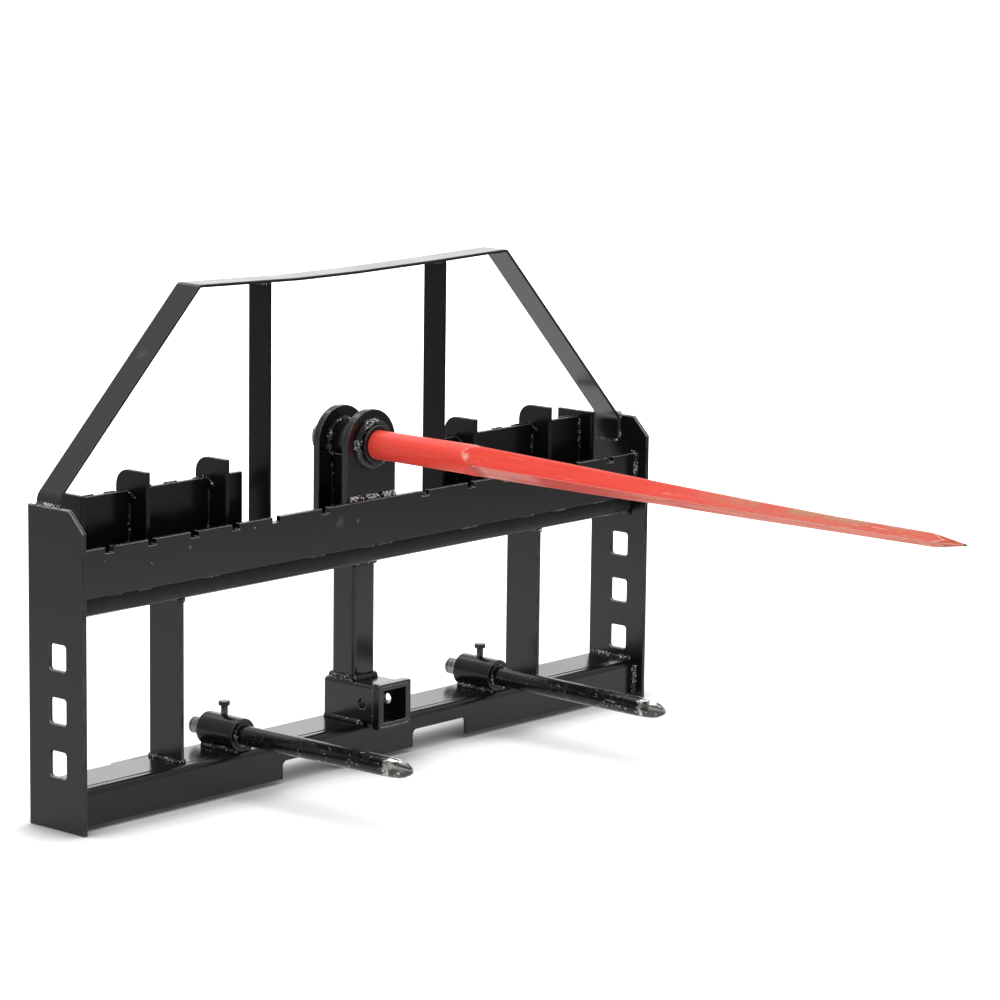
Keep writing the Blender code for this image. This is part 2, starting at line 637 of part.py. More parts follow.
def spear_nut(carrier):
    """The nut that draws the spear's cone into its socket."""
    axis = Vector((0, 0, SPEAR_HEIGHT))
    start = SOCKET_BACK + GAP
    nut = chamfered_hexagon("spear_nut", NUT_FLATS, "Y", axis, start, NUT_HEIGHT,
                            zinc_steel, carrier)
    bore = rod("Y", axis, start - OVERRUN, start + NUT_HEIGHT + OVERRUN,
               THREAD_DIAMETER / 2 + GAP)
    combine(nut, add_cutter("nut_bore_cutter", bore, carrier))


def guard_drop(place):
    """How far the guard's top is below its highest end, at a place along it."""
    for (left, drop), (right, next_drop) in zip(GUARD_TOP, GUARD_TOP[1:]):
        if place <= right:
            break
    return drop + (next_drop - drop) * (place - left) / (right - left)


def guard(carrier):
    """One flat bar, bent four times, and the two struts that carry its top."""
    tab = INNER_FACE - GAP - GUARD_THICKNESS / 2
    foot = PLATE_HEIGHT - GUARD_TAB_LENGTH
    path = [(-tab, foot), (-tab, PLATE_HEIGHT + LEFT_KNEE_RISE)]
    for place, drop in GUARD_TOP:
        path.append((place, GUARD_HEIGHT - GUARD_THICKNESS / 2 - drop))
    path += [(tab, PLATE_HEIGHT - RIGHT_KNEE_DROP), (tab, foot)]
    bends = [0] * (len(path) - 2)
    bends[0] = bends[-1] = GUARD_FOOT_BEND
    bends[1] = bends[-2] = GUARD_TOP_BEND
    outline = strip(filleted(path, bends), GUARD_THICKNESS)
    builder = extruded(outline, "Y", GUARD_FRONT, GUARD_WIDTH)
    break_edges(add_piece("guard_bar", builder, black_paint, carrier, smooth=True))
    bottom = TUBE_TOP + GAP
    for side, place in STRUT_PLACES.items():
        start = place - STRUT_THICKNESS / 2
        drop = max(guard_drop(start), guard_drop(start + STRUT_THICKNESS))
        height = GUARD_HEIGHT - drop - GUARD_THICKNESS - GAP - bottom
        centre = (GUARD_FRONT + STRUT_WIDTH / 2, bottom + height / 2)
        builder = extruded(rectangle(STRUT_WIDTH, height, centre), "X", start, STRUT_THICKNESS)
        break_edges(add_piece(side + "_guard_strut", builder, black_paint, carrier))


def hooks(carrier):
    """Upright plates on the top rail, and the sloping lips behind their top edges."""
    bottom = TUBE_TOP + GAP
    height = HOOK_TOP - bottom
    outline = rectangle(HOOK_THICKNESS, height, (HOOK_FRONT + HOOK_THICKNESS / 2,
                                                 bottom + height / 2))
    near = HOOK_BACK + GAP
    far = near + HOOK_LIP_REACH
    step = HOOK_THICKNESS / math.sqrt(2)
    lip = [(near, HOOK_TOP), (near, HOOK_TOP - 2 * step),
           (far - step, HOOK_TOP - HOOK_LIP_REACH - step), (far, HOOK_TOP - HOOK_LIP_REACH)]
    length = END_GUSSET_PLACE - GUSSET_THICKNESS / 2 - GAP - HOOK_INNER_END
    for side, sign in both_sides():
        start = sign * HOOK_INNER_END
        builder = extruded(outline, "X", start, sign * length)
        break_edges(add_piece(side + "_hook_plate", builder, black_paint, carrier))
        builder = extruded(lip, "X", start, sign * length)
        break_edges(add_piece(side + "_hook_lip", builder, black_paint, carrier))


def gussets(carrier):
    """Round-backed ribs that straddle the hooks, and square ones at their ends."""
    top = PLATE_HEIGHT + GUSSET_RISE
    back = GUSSET_FRONT + GUSSET_DEPTH
    bottom = TUBE_TOP + GAP
    slot_top = HOOK_TOP + GAP * math.sqrt(2)
    slot_back = HOOK_BACK + GAP
    outline = [(GUSSET_FRONT, bottom), (HOOK_FRONT - GAP, bottom),
               (HOOK_FRONT - GAP, slot_top), (slot_back, slot_top),
               (back, slot_top - (back - slot_back))]
    corner = (back - GUSSET_RADIUS, top - GUSSET_RADIUS)
    outline += arc(corner, GUSSET_RADIUS, 0, math.pi / 2, 8)
    outline.append((GUSSET_FRONT, top))
    for name, place in GUSSET_PLACES.items():
        builder = extruded(outline, "X", place - GUSSET_THICKNESS / 2, GUSSET_THICKNESS)
        break_edges(add_piece(name + "_gusset", builder, black_paint, carrier))
    end_top = PLATE_HEIGHT + END_GUSSET_RISE
    end_back = END_GUSSET_FRONT + END_GUSSET_DEPTH
    foot_back = TUBE_MIDDLE + TUBE_SIZE / 2 - TUBE_CORNER / 2
    outline = [(END_GUSSET_FRONT, bottom), (foot_back, bottom),
               (end_back, end_top - END_GUSSET_TAIL), (end_back, end_top),
               (END_GUSSET_FRONT, end_top)]
    for side, sign in both_sides():
        start = sign * END_GUSSET_PLACE - GUSSET_THICKNESS / 2
        builder = extruded(outline, "X", start, GUSSET_THICKNESS)
        break_edges(add_piece(side + "_end_gusset", builder, black_paint, carrier))


def latch_plates(carrier):
    """Slotted plates under the bottom rail, which the coupler's wedges go through."""
    rail_back = RAIL_FRONT + RAIL_DEPTH
    front = rail_back - LATCH_OVERLAP
    depth = LATCH_OVERLAP + LATCH_OVERHANG
    top = RAIL_TOP - RAIL_THICKNESS - GAP
    for side, sign in both_sides():
        middle = (sign * UPRIGHT_SPACING / 2, front + depth / 2)
        outline = rounded_rectangle(LATCH_LENGTH, depth, LATCH_CORNER, middle)
        builder = extruded(outline, "Z", top - LATCH_THICKNESS, LATCH_THICKNESS)
        plate = add_piece(side + "_latch_plate", builder, black_paint, carrier)
        centre = (middle[0], rail_back + LATCH_OVERHANG / 2)
        slot = rounded_rectangle(LATCH_SLOT_LENGTH, LATCH_SLOT_WIDTH, LATCH_SLOT_WIDTH / 3, centre)
        start = top - LATCH_THICKNESS - OVERRUN
        builder = extruded(slot, "Z", start, LATCH_THICKNESS + 2 * OVERRUN)
        combine(plate, add_cutter(side + "_latch_slot_cutter", builder, carrier))
        break_edges(plate)


def stabiliser_profile():
    """Outline of a short spear along its own axis, from its stub to its point."""
    radius = STABILISER_DIAMETER / 2
    stub = STABILISER_STUB / 2
    back = SLEEVE_LENGTH / 2
    end = back + STABILISER_STUB_LENGTH
    tip = STABILISER_REACH + SLEEVE_FRONT + SLEEVE_LENGTH / 2
    profile = [(-tip, 0)]
    for length_share, radius_share in reversed(POINT_SHARES):
        place = -tip + STABILISER_POINT * (1 - length_share)
        profile.append((place, radius * radius_share))
    profile += [(back, radius), (back, stub), (end - STUB_CHAMFER, stub),
                (end, stub - STUB_CHAMFER), (end, 0)]
    return profile


def stabilisers(carrier):
    """Sleeves on the bottom rail, the short spears in them and their set bolts."""
    rod_radius = STABILISER_DIAMETER / 2
    bore = rod_radius + STABILISER_PLAY
    outer = SLEEVE_OUTER / 2
    back = SLEEVE_FRONT + SLEEVE_LENGTH
    bolt_place = SLEEVE_FRONT + SLEEVE_LENGTH * BOLT_PLACE_SHARE
    sleeve_profile = [(SLEEVE_FRONT, bore), (SLEEVE_FRONT, outer - BROKEN_EDGE),
                      (SLEEVE_FRONT + BROKEN_EDGE, outer), (back - BROKEN_EDGE, outer),
                      (back, outer - BROKEN_EDGE), (back, bore)]
    head_bottom = SLEEVE_AXIS + outer + BOLT_STAND
    for side, sign in both_sides():
        x = sign * STABILISER_SPACING / 2
        axis = Vector((x, 0, SLEEVE_AXIS))
        builder = turned(sleeve_profile, "Y", axis, closed=True)
        sleeve = add_piece(side + "_stabiliser_sleeve", builder, black_paint, carrier, smooth=True)
        bolt_axis = Vector((x, bolt_place, 0))
        tapped = rod("Z", bolt_axis, SLEEVE_AXIS, SLEEVE_AXIS + outer + OVERRUN,
                     BOLT_DIAMETER / 2 + GAP, BOLT_SEGMENTS)
        combine(sleeve, add_cutter(side + "_bolt_hole_cutter", tapped, carrier))
        builder = turned(stabiliser_profile(), "Y", Vector())
        builder.transform(Matrix.Rotation(-STABILISER_LIFTS[side], 4, "X"))
        middle = Vector((x, SLEEVE_FRONT + SLEEVE_LENGTH / 2, SLEEVE_AXIS))
        builder.transform(Matrix.Translation(middle))
        add_piece(side + "_stabiliser_spear", builder, black_paint, carrier, smooth=True)
        bolt = chamfered_hexagon(side + "_set_bolt", BOLT_FLATS, "Z", bolt_axis, head_bottom,
                                 BOLT_HEAD, black_paint, carrier)
        shank_end = SLEEVE_AXIS + rod_radius + GAP
        shank = rod("Z", bolt_axis, shank_end, head_bottom + BOLT_HEAD / 2, BOLT_DIAMETER / 2,
                    BOLT_SEGMENTS)
        combine(bolt, add_cutter(side + "_bolt_shank", shank, carrier), "UNION")


def build():
    """Model every piece and hang it on the empty that sets the origin."""
    clear_scene()
    carrier = bpy.data.objects.new("bale_spear", None)
    bpy.context.scene.collection.objects.link(carrier)
    carrier.location = (0, ORIGIN_SHIFT, 0)
    side_plates(carrier)
    bottom_rail(carrier)
    top_rail(carrier)
    uprights(carrier)
    receiver_and_posts(carrier)
    ears(carrier)
    socket(carrier)
    main_spear(carrier)
    spear_nut(carrier)
    guard(carrier)
    hooks(carrier)
    gussets(carrier)
    latch_plates(carrier)
    stabilisers(carrier)
    bpy.context.view_layer.update()


build()
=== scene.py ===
# %% [markdown]
# # Dressing a bale spear
# A bale spear is a farm tool that a loader carries: a welded steel frame, one long
# forged spear that goes into a bale, and two short stabiliser spears that stop the
# bale from turning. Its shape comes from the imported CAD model, which is the frame of
# this scene and never changes. The lesson adds what the CAD leaves out: the weld
# beads, the threads, and the finish of each surface.

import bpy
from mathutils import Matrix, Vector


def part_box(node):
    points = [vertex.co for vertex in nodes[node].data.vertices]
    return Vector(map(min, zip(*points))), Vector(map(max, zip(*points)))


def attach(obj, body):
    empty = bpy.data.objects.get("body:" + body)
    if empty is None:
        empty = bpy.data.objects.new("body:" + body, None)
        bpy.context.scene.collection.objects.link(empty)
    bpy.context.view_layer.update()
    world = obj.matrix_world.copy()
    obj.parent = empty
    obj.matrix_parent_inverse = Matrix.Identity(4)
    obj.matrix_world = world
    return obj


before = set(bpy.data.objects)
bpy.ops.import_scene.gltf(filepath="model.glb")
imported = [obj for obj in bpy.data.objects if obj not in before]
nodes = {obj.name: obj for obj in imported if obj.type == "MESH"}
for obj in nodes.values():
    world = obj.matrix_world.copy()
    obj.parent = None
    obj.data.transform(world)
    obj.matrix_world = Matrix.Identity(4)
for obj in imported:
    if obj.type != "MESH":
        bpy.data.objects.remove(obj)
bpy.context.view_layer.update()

# %% Modules, units and the frame's nodes
import math
import random

import bpy
from mathutils import Matrix, Vector

MM = 0.001
random.seed(4)
print(len(nodes), "CAD nodes")

# %% [markdown]
# ## The camera
# The view was found by fitting a camera to the frame's straight edges: a long lens,
# ten degrees above the horizon, with a hair of roll. Its three axes are worked out
# from yaw, pitch and roll, so that nothing has to be turned by hand.

# %% Camera
CAMERA_PLACE = Vector((-4.449, -3.70075, 1.504))
CAMERA_YAW = math.radians(48.501)
CAMERA_PITCH = math.radians(-10.119)
CAMERA_ROLL = math.radians(0.737)
SENSOR = 36.0                   # width in millimetres
FOCAL_SHARE = 4.03025           # focal length over the width of the picture
CLIP_END = 100.0


def aim_camera():
    """Make the scene's camera from its place, yaw, pitch and roll."""
    flat = math.cos(CAMERA_PITCH)
    ahead = Vector((math.sin(CAMERA_YAW) * flat, math.cos(CAMERA_YAW) * flat,
                    math.sin(CAMERA_PITCH)))
    right = Vector((math.cos(CAMERA_YAW), -math.sin(CAMERA_YAW), 0))
    up = right.cross(ahead)
    across = right * math.cos(CAMERA_ROLL) + up * math.sin(CAMERA_ROLL)
    upright = up * math.cos(CAMERA_ROLL) - right * math.sin(CAMERA_ROLL)
    turn = Matrix((across, upright, -ahead)).transposed().to_4x4()
    data = bpy.data.cameras.new("photo_camera")
    data.sensor_width = SENSOR
    data.lens = SENSOR * FOCAL_SHARE
    data.clip_end = CLIP_END
    camera = bpy.data.objects.new("photo_camera", data)
    bpy.context.scene.collection.objects.link(camera)
    camera.matrix_world = Matrix.Translation(CAMERA_PLACE) @ turn
    bpy.context.scene.camera = camera
    return camera


print("camera lens", aim_camera().data.lens, "mm")

# %% [markdown]
# ## Shader maths that reads like maths
# A finish is a small calculation: where is there dust, where is a chip, how rough is
# it there. Wrapping a socket in a class lets that calculation be written as Python
# expressions. Each operator adds one Math node, and `node` adds any other kind.

# %% The class that wraps a socket
class Wire:
    """A socket of a node tree that can be added, multiplied and fed to other nodes."""

    def __init__(self, tree, socket=None):
        self.tree = tree
        self.socket = socket

    def node(self, kind, inputs=None, output=0, **settings):
        """Add a node: first its settings, then its values and links."""
        made = self.tree.nodes.new(kind)
        for name, value in settings.items():
            setattr(made, name, value)
        for place, value in (inputs or {}).items():
            if isinstance(value, Wire):
                self.tree.links.new(value.socket, made.inputs[place])
            else:
                made.inputs[place].default_value = value
        return Wire(self.tree, made.outputs[output])

    def maths(self, operation, other=0.0, swapped=False):
        """One Math node on this wire and another wire or a number."""
        first, second = (other, self) if swapped else (self, other)
        return self.node("ShaderNodeMath", {0: first, 1: second}, operation=operation)

    def __add__(self, other):
        return self.maths("ADD", other)

    def __radd__(self, other):
        return self.maths("ADD", other, swapped=True)

    def __sub__(self, other):
        return self.maths("SUBTRACT", other)

    def __rsub__(self, other):
        return self.maths("SUBTRACT", other, swapped=True)

    def __mul__(self, other):
        return self.maths("MULTIPLY", other)

    def __rmul__(self, other):
        return self.maths("MULTIPLY", other, swapped=True)

    def rise(self, low, high):
        """0 below low, 1 above high, and a smooth step between."""
        return self.node("ShaderNodeMapRange", {0: self, 1: low, 2: high},
                         interpolation_type="SMOOTHSTEP")

    def most(self, other):
        """The larger of two masks."""
        return self.maths("MAXIMUM", other)

    def mix(self, first, second):
        """A colour between two, with this wire as the factor."""
        inputs = {0: self, 6: first, 7: second}
        return self.node("ShaderNodeMix", inputs, output=2, data_type="RGBA")

    def part(self, axis):
        """One component of a vector."""
        return self.node("ShaderNodeSeparateXYZ", {0: self}, output="XYZ".index(axis))

    def stretched(self, scale):
        """These coordinates scaled along each axis, for streaks and flow lines."""
        return self.node("ShaderNodeMapping", {3: scale, 0: self})

    def size(self):
        """The value without its sign."""
        return self.maths("ABSOLUTE")

    def band(self, half, soft):
        """1 where the value is within half of zero, and 0 beyond a soft border."""
        return 1 - self.size().rise(half, half + soft)

    def away(self, point):
        """Distance from a point of these coordinates."""
        return self.node("ShaderNodeVectorMath", {0: self, 1: point}, output="Value",
                         operation="DISTANCE")

    def around(self, point, radius, soft):
        """1 near a point of these coordinates, and 0 beyond a soft border."""
        return 1 - self.away(point).rise(radius, radius + soft)

    def noise(self, scale, detail=2.0, roughness=0.5):
        """Soft noise from 0 to 1, with its features 1 / scale metres apart."""
        inputs = {"Vector": self, "Scale": scale, "Detail": detail, "Roughness": roughness}
        return self.node("ShaderNodeTexNoise", inputs)

    def cells(self, scale, output="Distance"):
        """Distance to the nearest random point, or that point's own random colour."""
        return self.node("ShaderNodeTexVoronoi", {"Vector": self, "Scale": scale}, output)


def grey(level):
    """A neutral colour."""
    return (level, level, level, 1.0)


def new_finish(name):
    """A fresh material, its Principled shader and its Object coordinates."""
    material = bpy.data.materials.new(name)
    material.use_nodes = True
    tree = material.node_tree
    shader = tree.nodes["Principled BSDF"]
    coordinates = Wire(tree).node("ShaderNodeTexCoord", output="Object")
    return material, shader, coordinates


def feed(shader, **wires):
    """Link wires to a shader's sockets, whose names are written with underscores."""
    for name, wire in wires.items():
        wire.tree.links.new(wire.socket, shader.inputs[name.replace("_", " ")])


def bumped(height, strength, depth, normal=None):
    """A Bump node: strength from 0 to 1, depth in metres, on a normal of its own."""
    inputs = {"Strength": strength, "Distance": depth, "Height": height}
    if normal:
        inputs["Normal"] = normal
    return height.node("ShaderNodeBump", inputs)


def upward(place, output="True Normal"):
    """How far a face looks up: 1 on a level top, 0 on a wall, -1 underneath."""
    return place.node("ShaderNodeNewGeometry", output=output).part("Z")


print("shader class ready")

# %% [markdown]
# ## Worn edges and painted edge highlights
# Powder coat is thin on a sharp edge, and straps and forks wear it bright, and the
# edges are also painted brighter as a painted highlight of a rounded edge. A Bevel
# node gives the normal of a rounded edge. Where that differs from the face's own
# normal, there is an edge, and noise breaks the line up so that it isn't drawn round
# the whole plate.

# %% Edge mask
def edge_mask(coordinates, width, start, full):
    """1 on sharp edges and 0 on faces, with the rounded edge's normal."""
    rounded = coordinates.node("ShaderNodeBevel", {"Radius": width}, samples=4)
    face = coordinates.node("ShaderNodeNewGeometry", output="True Normal")
    match = coordinates.node("ShaderNodeVectorMath", {0: rounded, 1: face},
                             output="Value", operation="DOT_PRODUCT")
    return (1 - match).rise(start, full), rounded


print("edge mask ready")

# %% [markdown]
# ## Black powder coat
# Most of the frame is black powder coat. It is almost black in itself, and what shows
# is the pale room mirrored in it, a few percent face on and far more at a glance. So
# roughness and bump matter more than colour: an even orange peel, a slow waviness,
# hands and straps that dull it in patches, a little dust on what faces up, and small
# chips down to the steel. Two pieces have something of their own: the bottom rail's
# sheet sinks before its bend, and the tube's face has painted shading that grows
# lighter towards its lower edge, with a painted highlight along that edge.

# %% Powder coat
COAT_BLACK = (0.0046, 0.0044, 0.0045, 1.0)
COAT_DUST = (0.105, 0.1, 0.094, 1.0)
# worn paint, and painted sheen on edges and along the tube's lower edge
COAT_WEAR_AND_SHEEN = (0.11, 0.11, 0.11, 1.0)
# painted highlight for edges that look up
COAT_EDGE_HIGHLIGHT = (0.82, 0.81, 0.79, 1.0)        # an edge that looks up
BARE_STEEL = (0.52, 0.5, 0.48, 1.0)
EDGE_WIDTH = 1.3 * MM
FOLD_DROP = 1.3 * MM            # a bent sheet sinks a little before its bend,
FOLD_WIDTH = 6.0 * MM
SHEET_LEAN = 0.08               # and leans a little forward towards its right end
# painted shading, lighter towards the tube's lower edge over this reach, and a painted highlight
# along the edge over this rim
SHEEN_REACH = 34.0 * MM
HIGHLIGHT_RIM = 3.0 * MM           # pale all over, next to the edge
SMEARS = 9.0                    # scales of the noises, in features per metre
GRAINS = 160.0
CHIPS = 19.0
CHIP_RIMS = 240.0
EDGE_GAPS = 38.0
WAVES = 28.0
ORANGE_PEEL = 850.0
HAIRLINES = (30.0, 900.0, 55.0)
CHIP_RADIUS = 0.085             # in cells of the chips' pattern


def powder_coat(name, roughness, dust, chips, edges=0.5, mirror=0.5, width=EDGE_WIDTH,
                fold=None, sheen_base=None, scuffs=()):
    """Black powder coat with dust, chips, and worn edges with painted highlights, in the given
    amounts.

    Fold is where a bent sheet starts to sink before its bend. The lower edge's height,
    if given, is where painted shading grows lighter downwards, with a painted highlight
    along the edge. Scuffs are single marks, each with its point, radius and amount.
    """
    material, shader, place = new_finish(name)
    # Dust on top, and a thin film of it elsewhere
    smear = place.noise(SMEARS, 4.0, 0.6)
    grain = place.noise(GRAINS, 3.0, 0.6)
    settled = upward(place).rise(0.3, 0.95) * smear.rise(0.3, 0.75) * grain.rise(0.2, 0.8)
    film = smear.rise(0.55, 0.8) * grain.rise(0.35, 0.75) * 0.35
    dusty = settled.most(film) * dust
    # Chips, on a few random cells
    rare = place.cells(CHIPS, "Color").part("X").rise(1 - chips, 1 - chips * 0.7)
    inside = CHIP_RADIUS - place.cells(CHIPS) + place.noise(CHIP_RIMS, 2.0) * 0.05
    chip = inside.rise(0.03, 0.045) * rare
    # Worn edges that also carry a painted highlight, scratches and scuffs; edges that look up get
    # a brighter painted highlight
    edge, rounded = edge_mask(place, width, 0.03, 0.18)
    gaps = place.noise(EDGE_GAPS, 3.0)
    # painted highlight on edges that look up
    painted_edge_highlight = edge * rounded.part("Z").rise(0.12, 0.4) * gaps.rise(0.28, 0.42) * edges
    hair = place.stretched(HAIRLINES).noise(1.0, 2.0, 0.6).rise(0.72, 0.78)
    scratch = hair * place.noise(6.0).rise(0.52, 0.7) * 0.35
    # worn edges, which also stand in for painted edge highlights, and scratches
    wear_and_sheen = (edge * gaps.rise(0.38, 0.66) * edges).most(scratch)
    for point, radius, amount in scuffs:
        wear_and_sheen = wear_and_sheen.most(place.around(point, 0.0, radius) * grain.rise(0.35, 0.6) * amount)
    # painted shading, lighter towards the lower edge, and a painted highlight along it
    if sheen_base:
        height = place.part("Z") - sheen_base
        painted_low_sheen = (1 - height.rise(0.0, SHEEN_REACH)) * (0.14 + 0.26 * smear)
        wear_and_sheen = wear_and_sheen.most(painted_low_sheen).most(1 - height.rise(HIGHLIGHT_RIM, HIGHLIGHT_RIM + 2 * MM))
    # The four layers of colour
    colour = dusty.mix(COAT_BLACK, COAT_DUST)
    colour = wear_and_sheen.mix(colour, COAT_WEAR_AND_SHEEN)
    # painted highlight on edges that look up
    colour = painted_edge_highlight.mix(colour, COAT_EDGE_HIGHLIGHT)
    colour = chip.mix(colour, BARE_STEEL)
    # Gloss and relief
    rough = roughness + 0.09 * smear + 0.3 * dusty + 0.2 * chip + 0.1 * scratch
    relief = place.noise(ORANGE_PEEL, 1.0) * 0.06 + place.noise(WAVES, 1.0) * 0.5 - chip * 0.5
    if fold:
        inward = place.part("Y") - fold
        sunk = (0.0 - inward).rise(0.0, FOLD_WIDTH) * -FOLD_DROP
        lean = inward * place.part("X").rise(-0.4, 0.6) * SHEET_LEAN
        rounded = bumped(sunk + lean, 1.0, 1.0, rounded)
    feed(shader, Base_Color=colour, Roughness=rough, Metallic=chip * 0.8,
         Normal=bumped(relief, 0.25, 0.4 * MM, rounded))
    shader.inputs["Specular IOR Level"].default_value = mirror
    return material


def dress(material, *names):
    """Give CAD nodes a finish through their own material slots."""
    for name in names:
        data = nodes[name].data
        if not data.materials:
            data.materials.append(material)
        nodes[name].material_slots[0].material = material


print("powder coat ready")

# %% [markdown]
# ## Ten batches of the same black
# The pieces were coated alike, but each kind has had its own use. Flat plates have
# the boldest worn edges with painted edge highlights, the fork bar has a few scuffs,
# and the tube mirrors little.
# A table holds what differs, and a loop makes each finish and gives it to its pieces.

# %% Paint the frame
bar_low, bar_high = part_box("top_fork_bar")
rail_low, rail_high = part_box("bottom_rail")
tube_low, tube_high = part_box("top_rail_tube")
SHEET_BEND = 20 * MM            # from the bottom rail's front face
BAR_SCUFFS = [((-0.3988, bar_low.y, 0.3912), 4 * MM, 2.2),
              ((-0.5681, bar_low.y, 0.3934), 2 * MM, 1.5),
              ((-0.0813, bar_low.y, 0.3859), 14 * MM, 0.5),
              ((-0.0415, bar_low.y, 0.3839), 6 * MM, 0.7)]
GUARD_SCUFF = ((-0.4432, 0.5467, 0.6783), 16 * MM, 0.6)
COATS = {
    "plate": {"roughness": 0.2, "dust": 0.12, "chips": 0.05, "edges": 1.8, "mirror": 0.45,
              "width": 3.0 * MM},
    "bar": {"roughness": 0.16, "dust": 0.16, "chips": 0.09, "edges": 1.2, "mirror": 0.47,
            "scuffs": BAR_SCUFFS},
    "rail": {"roughness": 0.14, "dust": 0.16, "chips": 0.08, "edges": 0.6, "mirror": 0.36,
             "fold": rail_low.y + SHEET_BEND},
    "bracket": {"roughness": 0.2, "dust": 0.12, "chips": 0.05, "edges": 0.7, "mirror": 0.25},
    "guard": {"roughness": 0.2, "dust": 0.1, "chips": 0.06, "scuffs": [GUARD_SCUFF]},
    "strut": {"roughness": 0.3, "dust": 0.1, "chips": 0.06, "mirror": 0.16},
    # the tube gets painted shading and a painted highlight at its lower edge
    "tube": {"roughness": 0.14, "dust": 0.1, "chips": 0.05, "edges": 1.6, "mirror": 0.1,
             "sheen_base": tube_low.z},
    "sleeve": {"roughness": 0.12, "dust": 0.08, "chips": 0.05, "mirror": 0.3},
    "post": {"roughness": 0.12, "dust": 0.12, "chips": 0.05, "edges": 0.8},
    "collar": {"roughness": 0.1, "dust": 0.08, "chips": 0.03, "edges": 1.8, "mirror": 0.33,
               "width": 1.8 * MM}}
WEARERS = {
    "plate": ("left_side_plate", "right_side_plate", "left_upright", "right_upright"),
    "bar": ("top_fork_bar", "left_latch_plate", "right_latch_plate"),
    "rail": ("bottom_rail",),
    "bracket": [name for name in nodes if "gusset" in name or "hook" in name],
    "guard": ("guard_bar",),
    "strut": ("left_guard_strut", "right_guard_strut"),
    "tube": ("top_rail_tube",),
    "sleeve": ("left_stabiliser_sleeve", "right_stabiliser_sleeve", "left_set_bolt",
               "right_set_bolt"),
    "post": ("centre_post", "upper_post", "receiver_tube", "front_spear_ear",
             "rear_spear_ear", "spear_socket"),
    "collar": ("receiver_collar",)}
coats = {}
for kind, settings in COATS.items():
    coats[kind] = powder_coat("black_coat_" + kind, **settings)
    dress(coats[kind], *WEARERS[kind])
    print(coats[kind].name, "on", len(WEARERS[kind]), "pieces")

# %% [markdown]
# ## Red dip paint on the main spear
# The spear is forged, then dipped in orange red paint. The dip leaves long runs, the
# corners are thin and pale, and the front half is scuffed by bales: chalky first, then
# brown where the primer shows. The very tip is bare. The neck is painted a lighter red
# as painted light, faces that look down are painted darker as painted shade, and their
# pale haze further on is chalk and painted reflection of the floor. All of it depends
# on the place along the spear, which is the Y of the Object coordinates. Each forged
# facet starts in an arc at the round neck and ends in a V at the point; both get
# painted highlights, and a painted glint sits on the arc.

# %% Colours and places on the spear
SPEAR_RED = (0.88, 0.058, 0.034, 1.0)
SPEAR_DEEP = (0.78, 0.034, 0.02, 1.0)
# a pale haze on faces that look down: chalk, and painted reflection of the floor
SPEAR_CHALK_AND_SHEEN = (0.84, 0.25, 0.19, 1.0)
SPEAR_PRIMER = (0.5, 0.3, 0.18, 1.0)
# scuffs, and painted highlights on the arc, the V and a glint
SPEAR_SCUFF_AND_HIGHLIGHT = (0.9, 0.52, 0.44, 1.0)
SPEAR_WORN = (0.6, 0.25, 0.18, 1.0)
# painted shade for faces that look down
SPEAR_UNDERSIDE_SHADE = (0.52, 0.045, 0.032, 1.0)
# painted light: a lighter red for the neck
SPEAR_NECK_LIGHT = (0.97, 0.072, 0.046, 1.0)
POINT_RED = (0.5, 0.07, 0.048, 1.0)
POINT_ORANGE = (0.66, 0.14, 0.06, 1.0)
POINT_SHADE = (0.34, 0.05, 0.04, 1.0)
DARK_STEEL = (0.09, 0.085, 0.08, 1.0)
CORNER_WIDTH = 3.0 * MM
spear_low, spear_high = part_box("main_spear")
socket_low, socket_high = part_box("spear_socket")
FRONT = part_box("left_side_plate")[0].y      # the spear's marks are measured from here
FACET_TURN = math.radians(53.0)
SHOULDER_START = 171.0 * MM     # the forged facets start in an arc
SHOULDER_CURVE = 66.0
SHOULDER_HEIGHT = 0.4972        # of the spear's axis there
POINT_START = 1043.0 * MM       # and end in a V
POINT_SLOPE = 2.6
POINT_HEIGHT = 0.4897
TOP_HEIGHT = 0.491              # primer shows above this height
NEAR_CHALK_AND_SHEEN = (0.203, 0.21, 0.3, 0.33)        # it grows and fades over these reaches
FAR_CHALK_AND_SHEEN = (0.44, 0.56)
WORN_REACH = (0.42, 0.8)
PRIMER_REACH = (0.6, 0.76)
# a painted glint on the arc
GLINT_PLACE = (-0.0175, FRONT - 0.177, 0.5035)
# the middle of a darker spot of painted shade in the crease below the neck
CREASE_SHADE_PLACE = (-0.024, FRONT - 0.196, 0.4885)
BARE_TIP = 4.0 * MM
RUNS = (70.0, 5.0, 70.0)        # scales of the noises across and along the spear
CLOUDS = (26.0, 9.0, 26.0)
HAZES = (120.0, 7.0, 120.0)
SPECKS = (240.0, 90.0, 240.0)
LINES = (300.0, 16.0, 300.0)
print("spear length", round(spear_high.y - spear_low.y, 4), "m")


# %% Red paint
def facet_middle(place, height):
    """Distance across a facet from its middle line, for an axis at this height."""
    cosine, sine = math.cos(FACET_TURN), math.sin(FACET_TURN)
    across, up = place.part("X"), place.part("Z") - height
    first = (across * cosine + up * sine).size()
    second = (up * cosine - across * sine).size()
    return first.maths("MINIMUM", second)


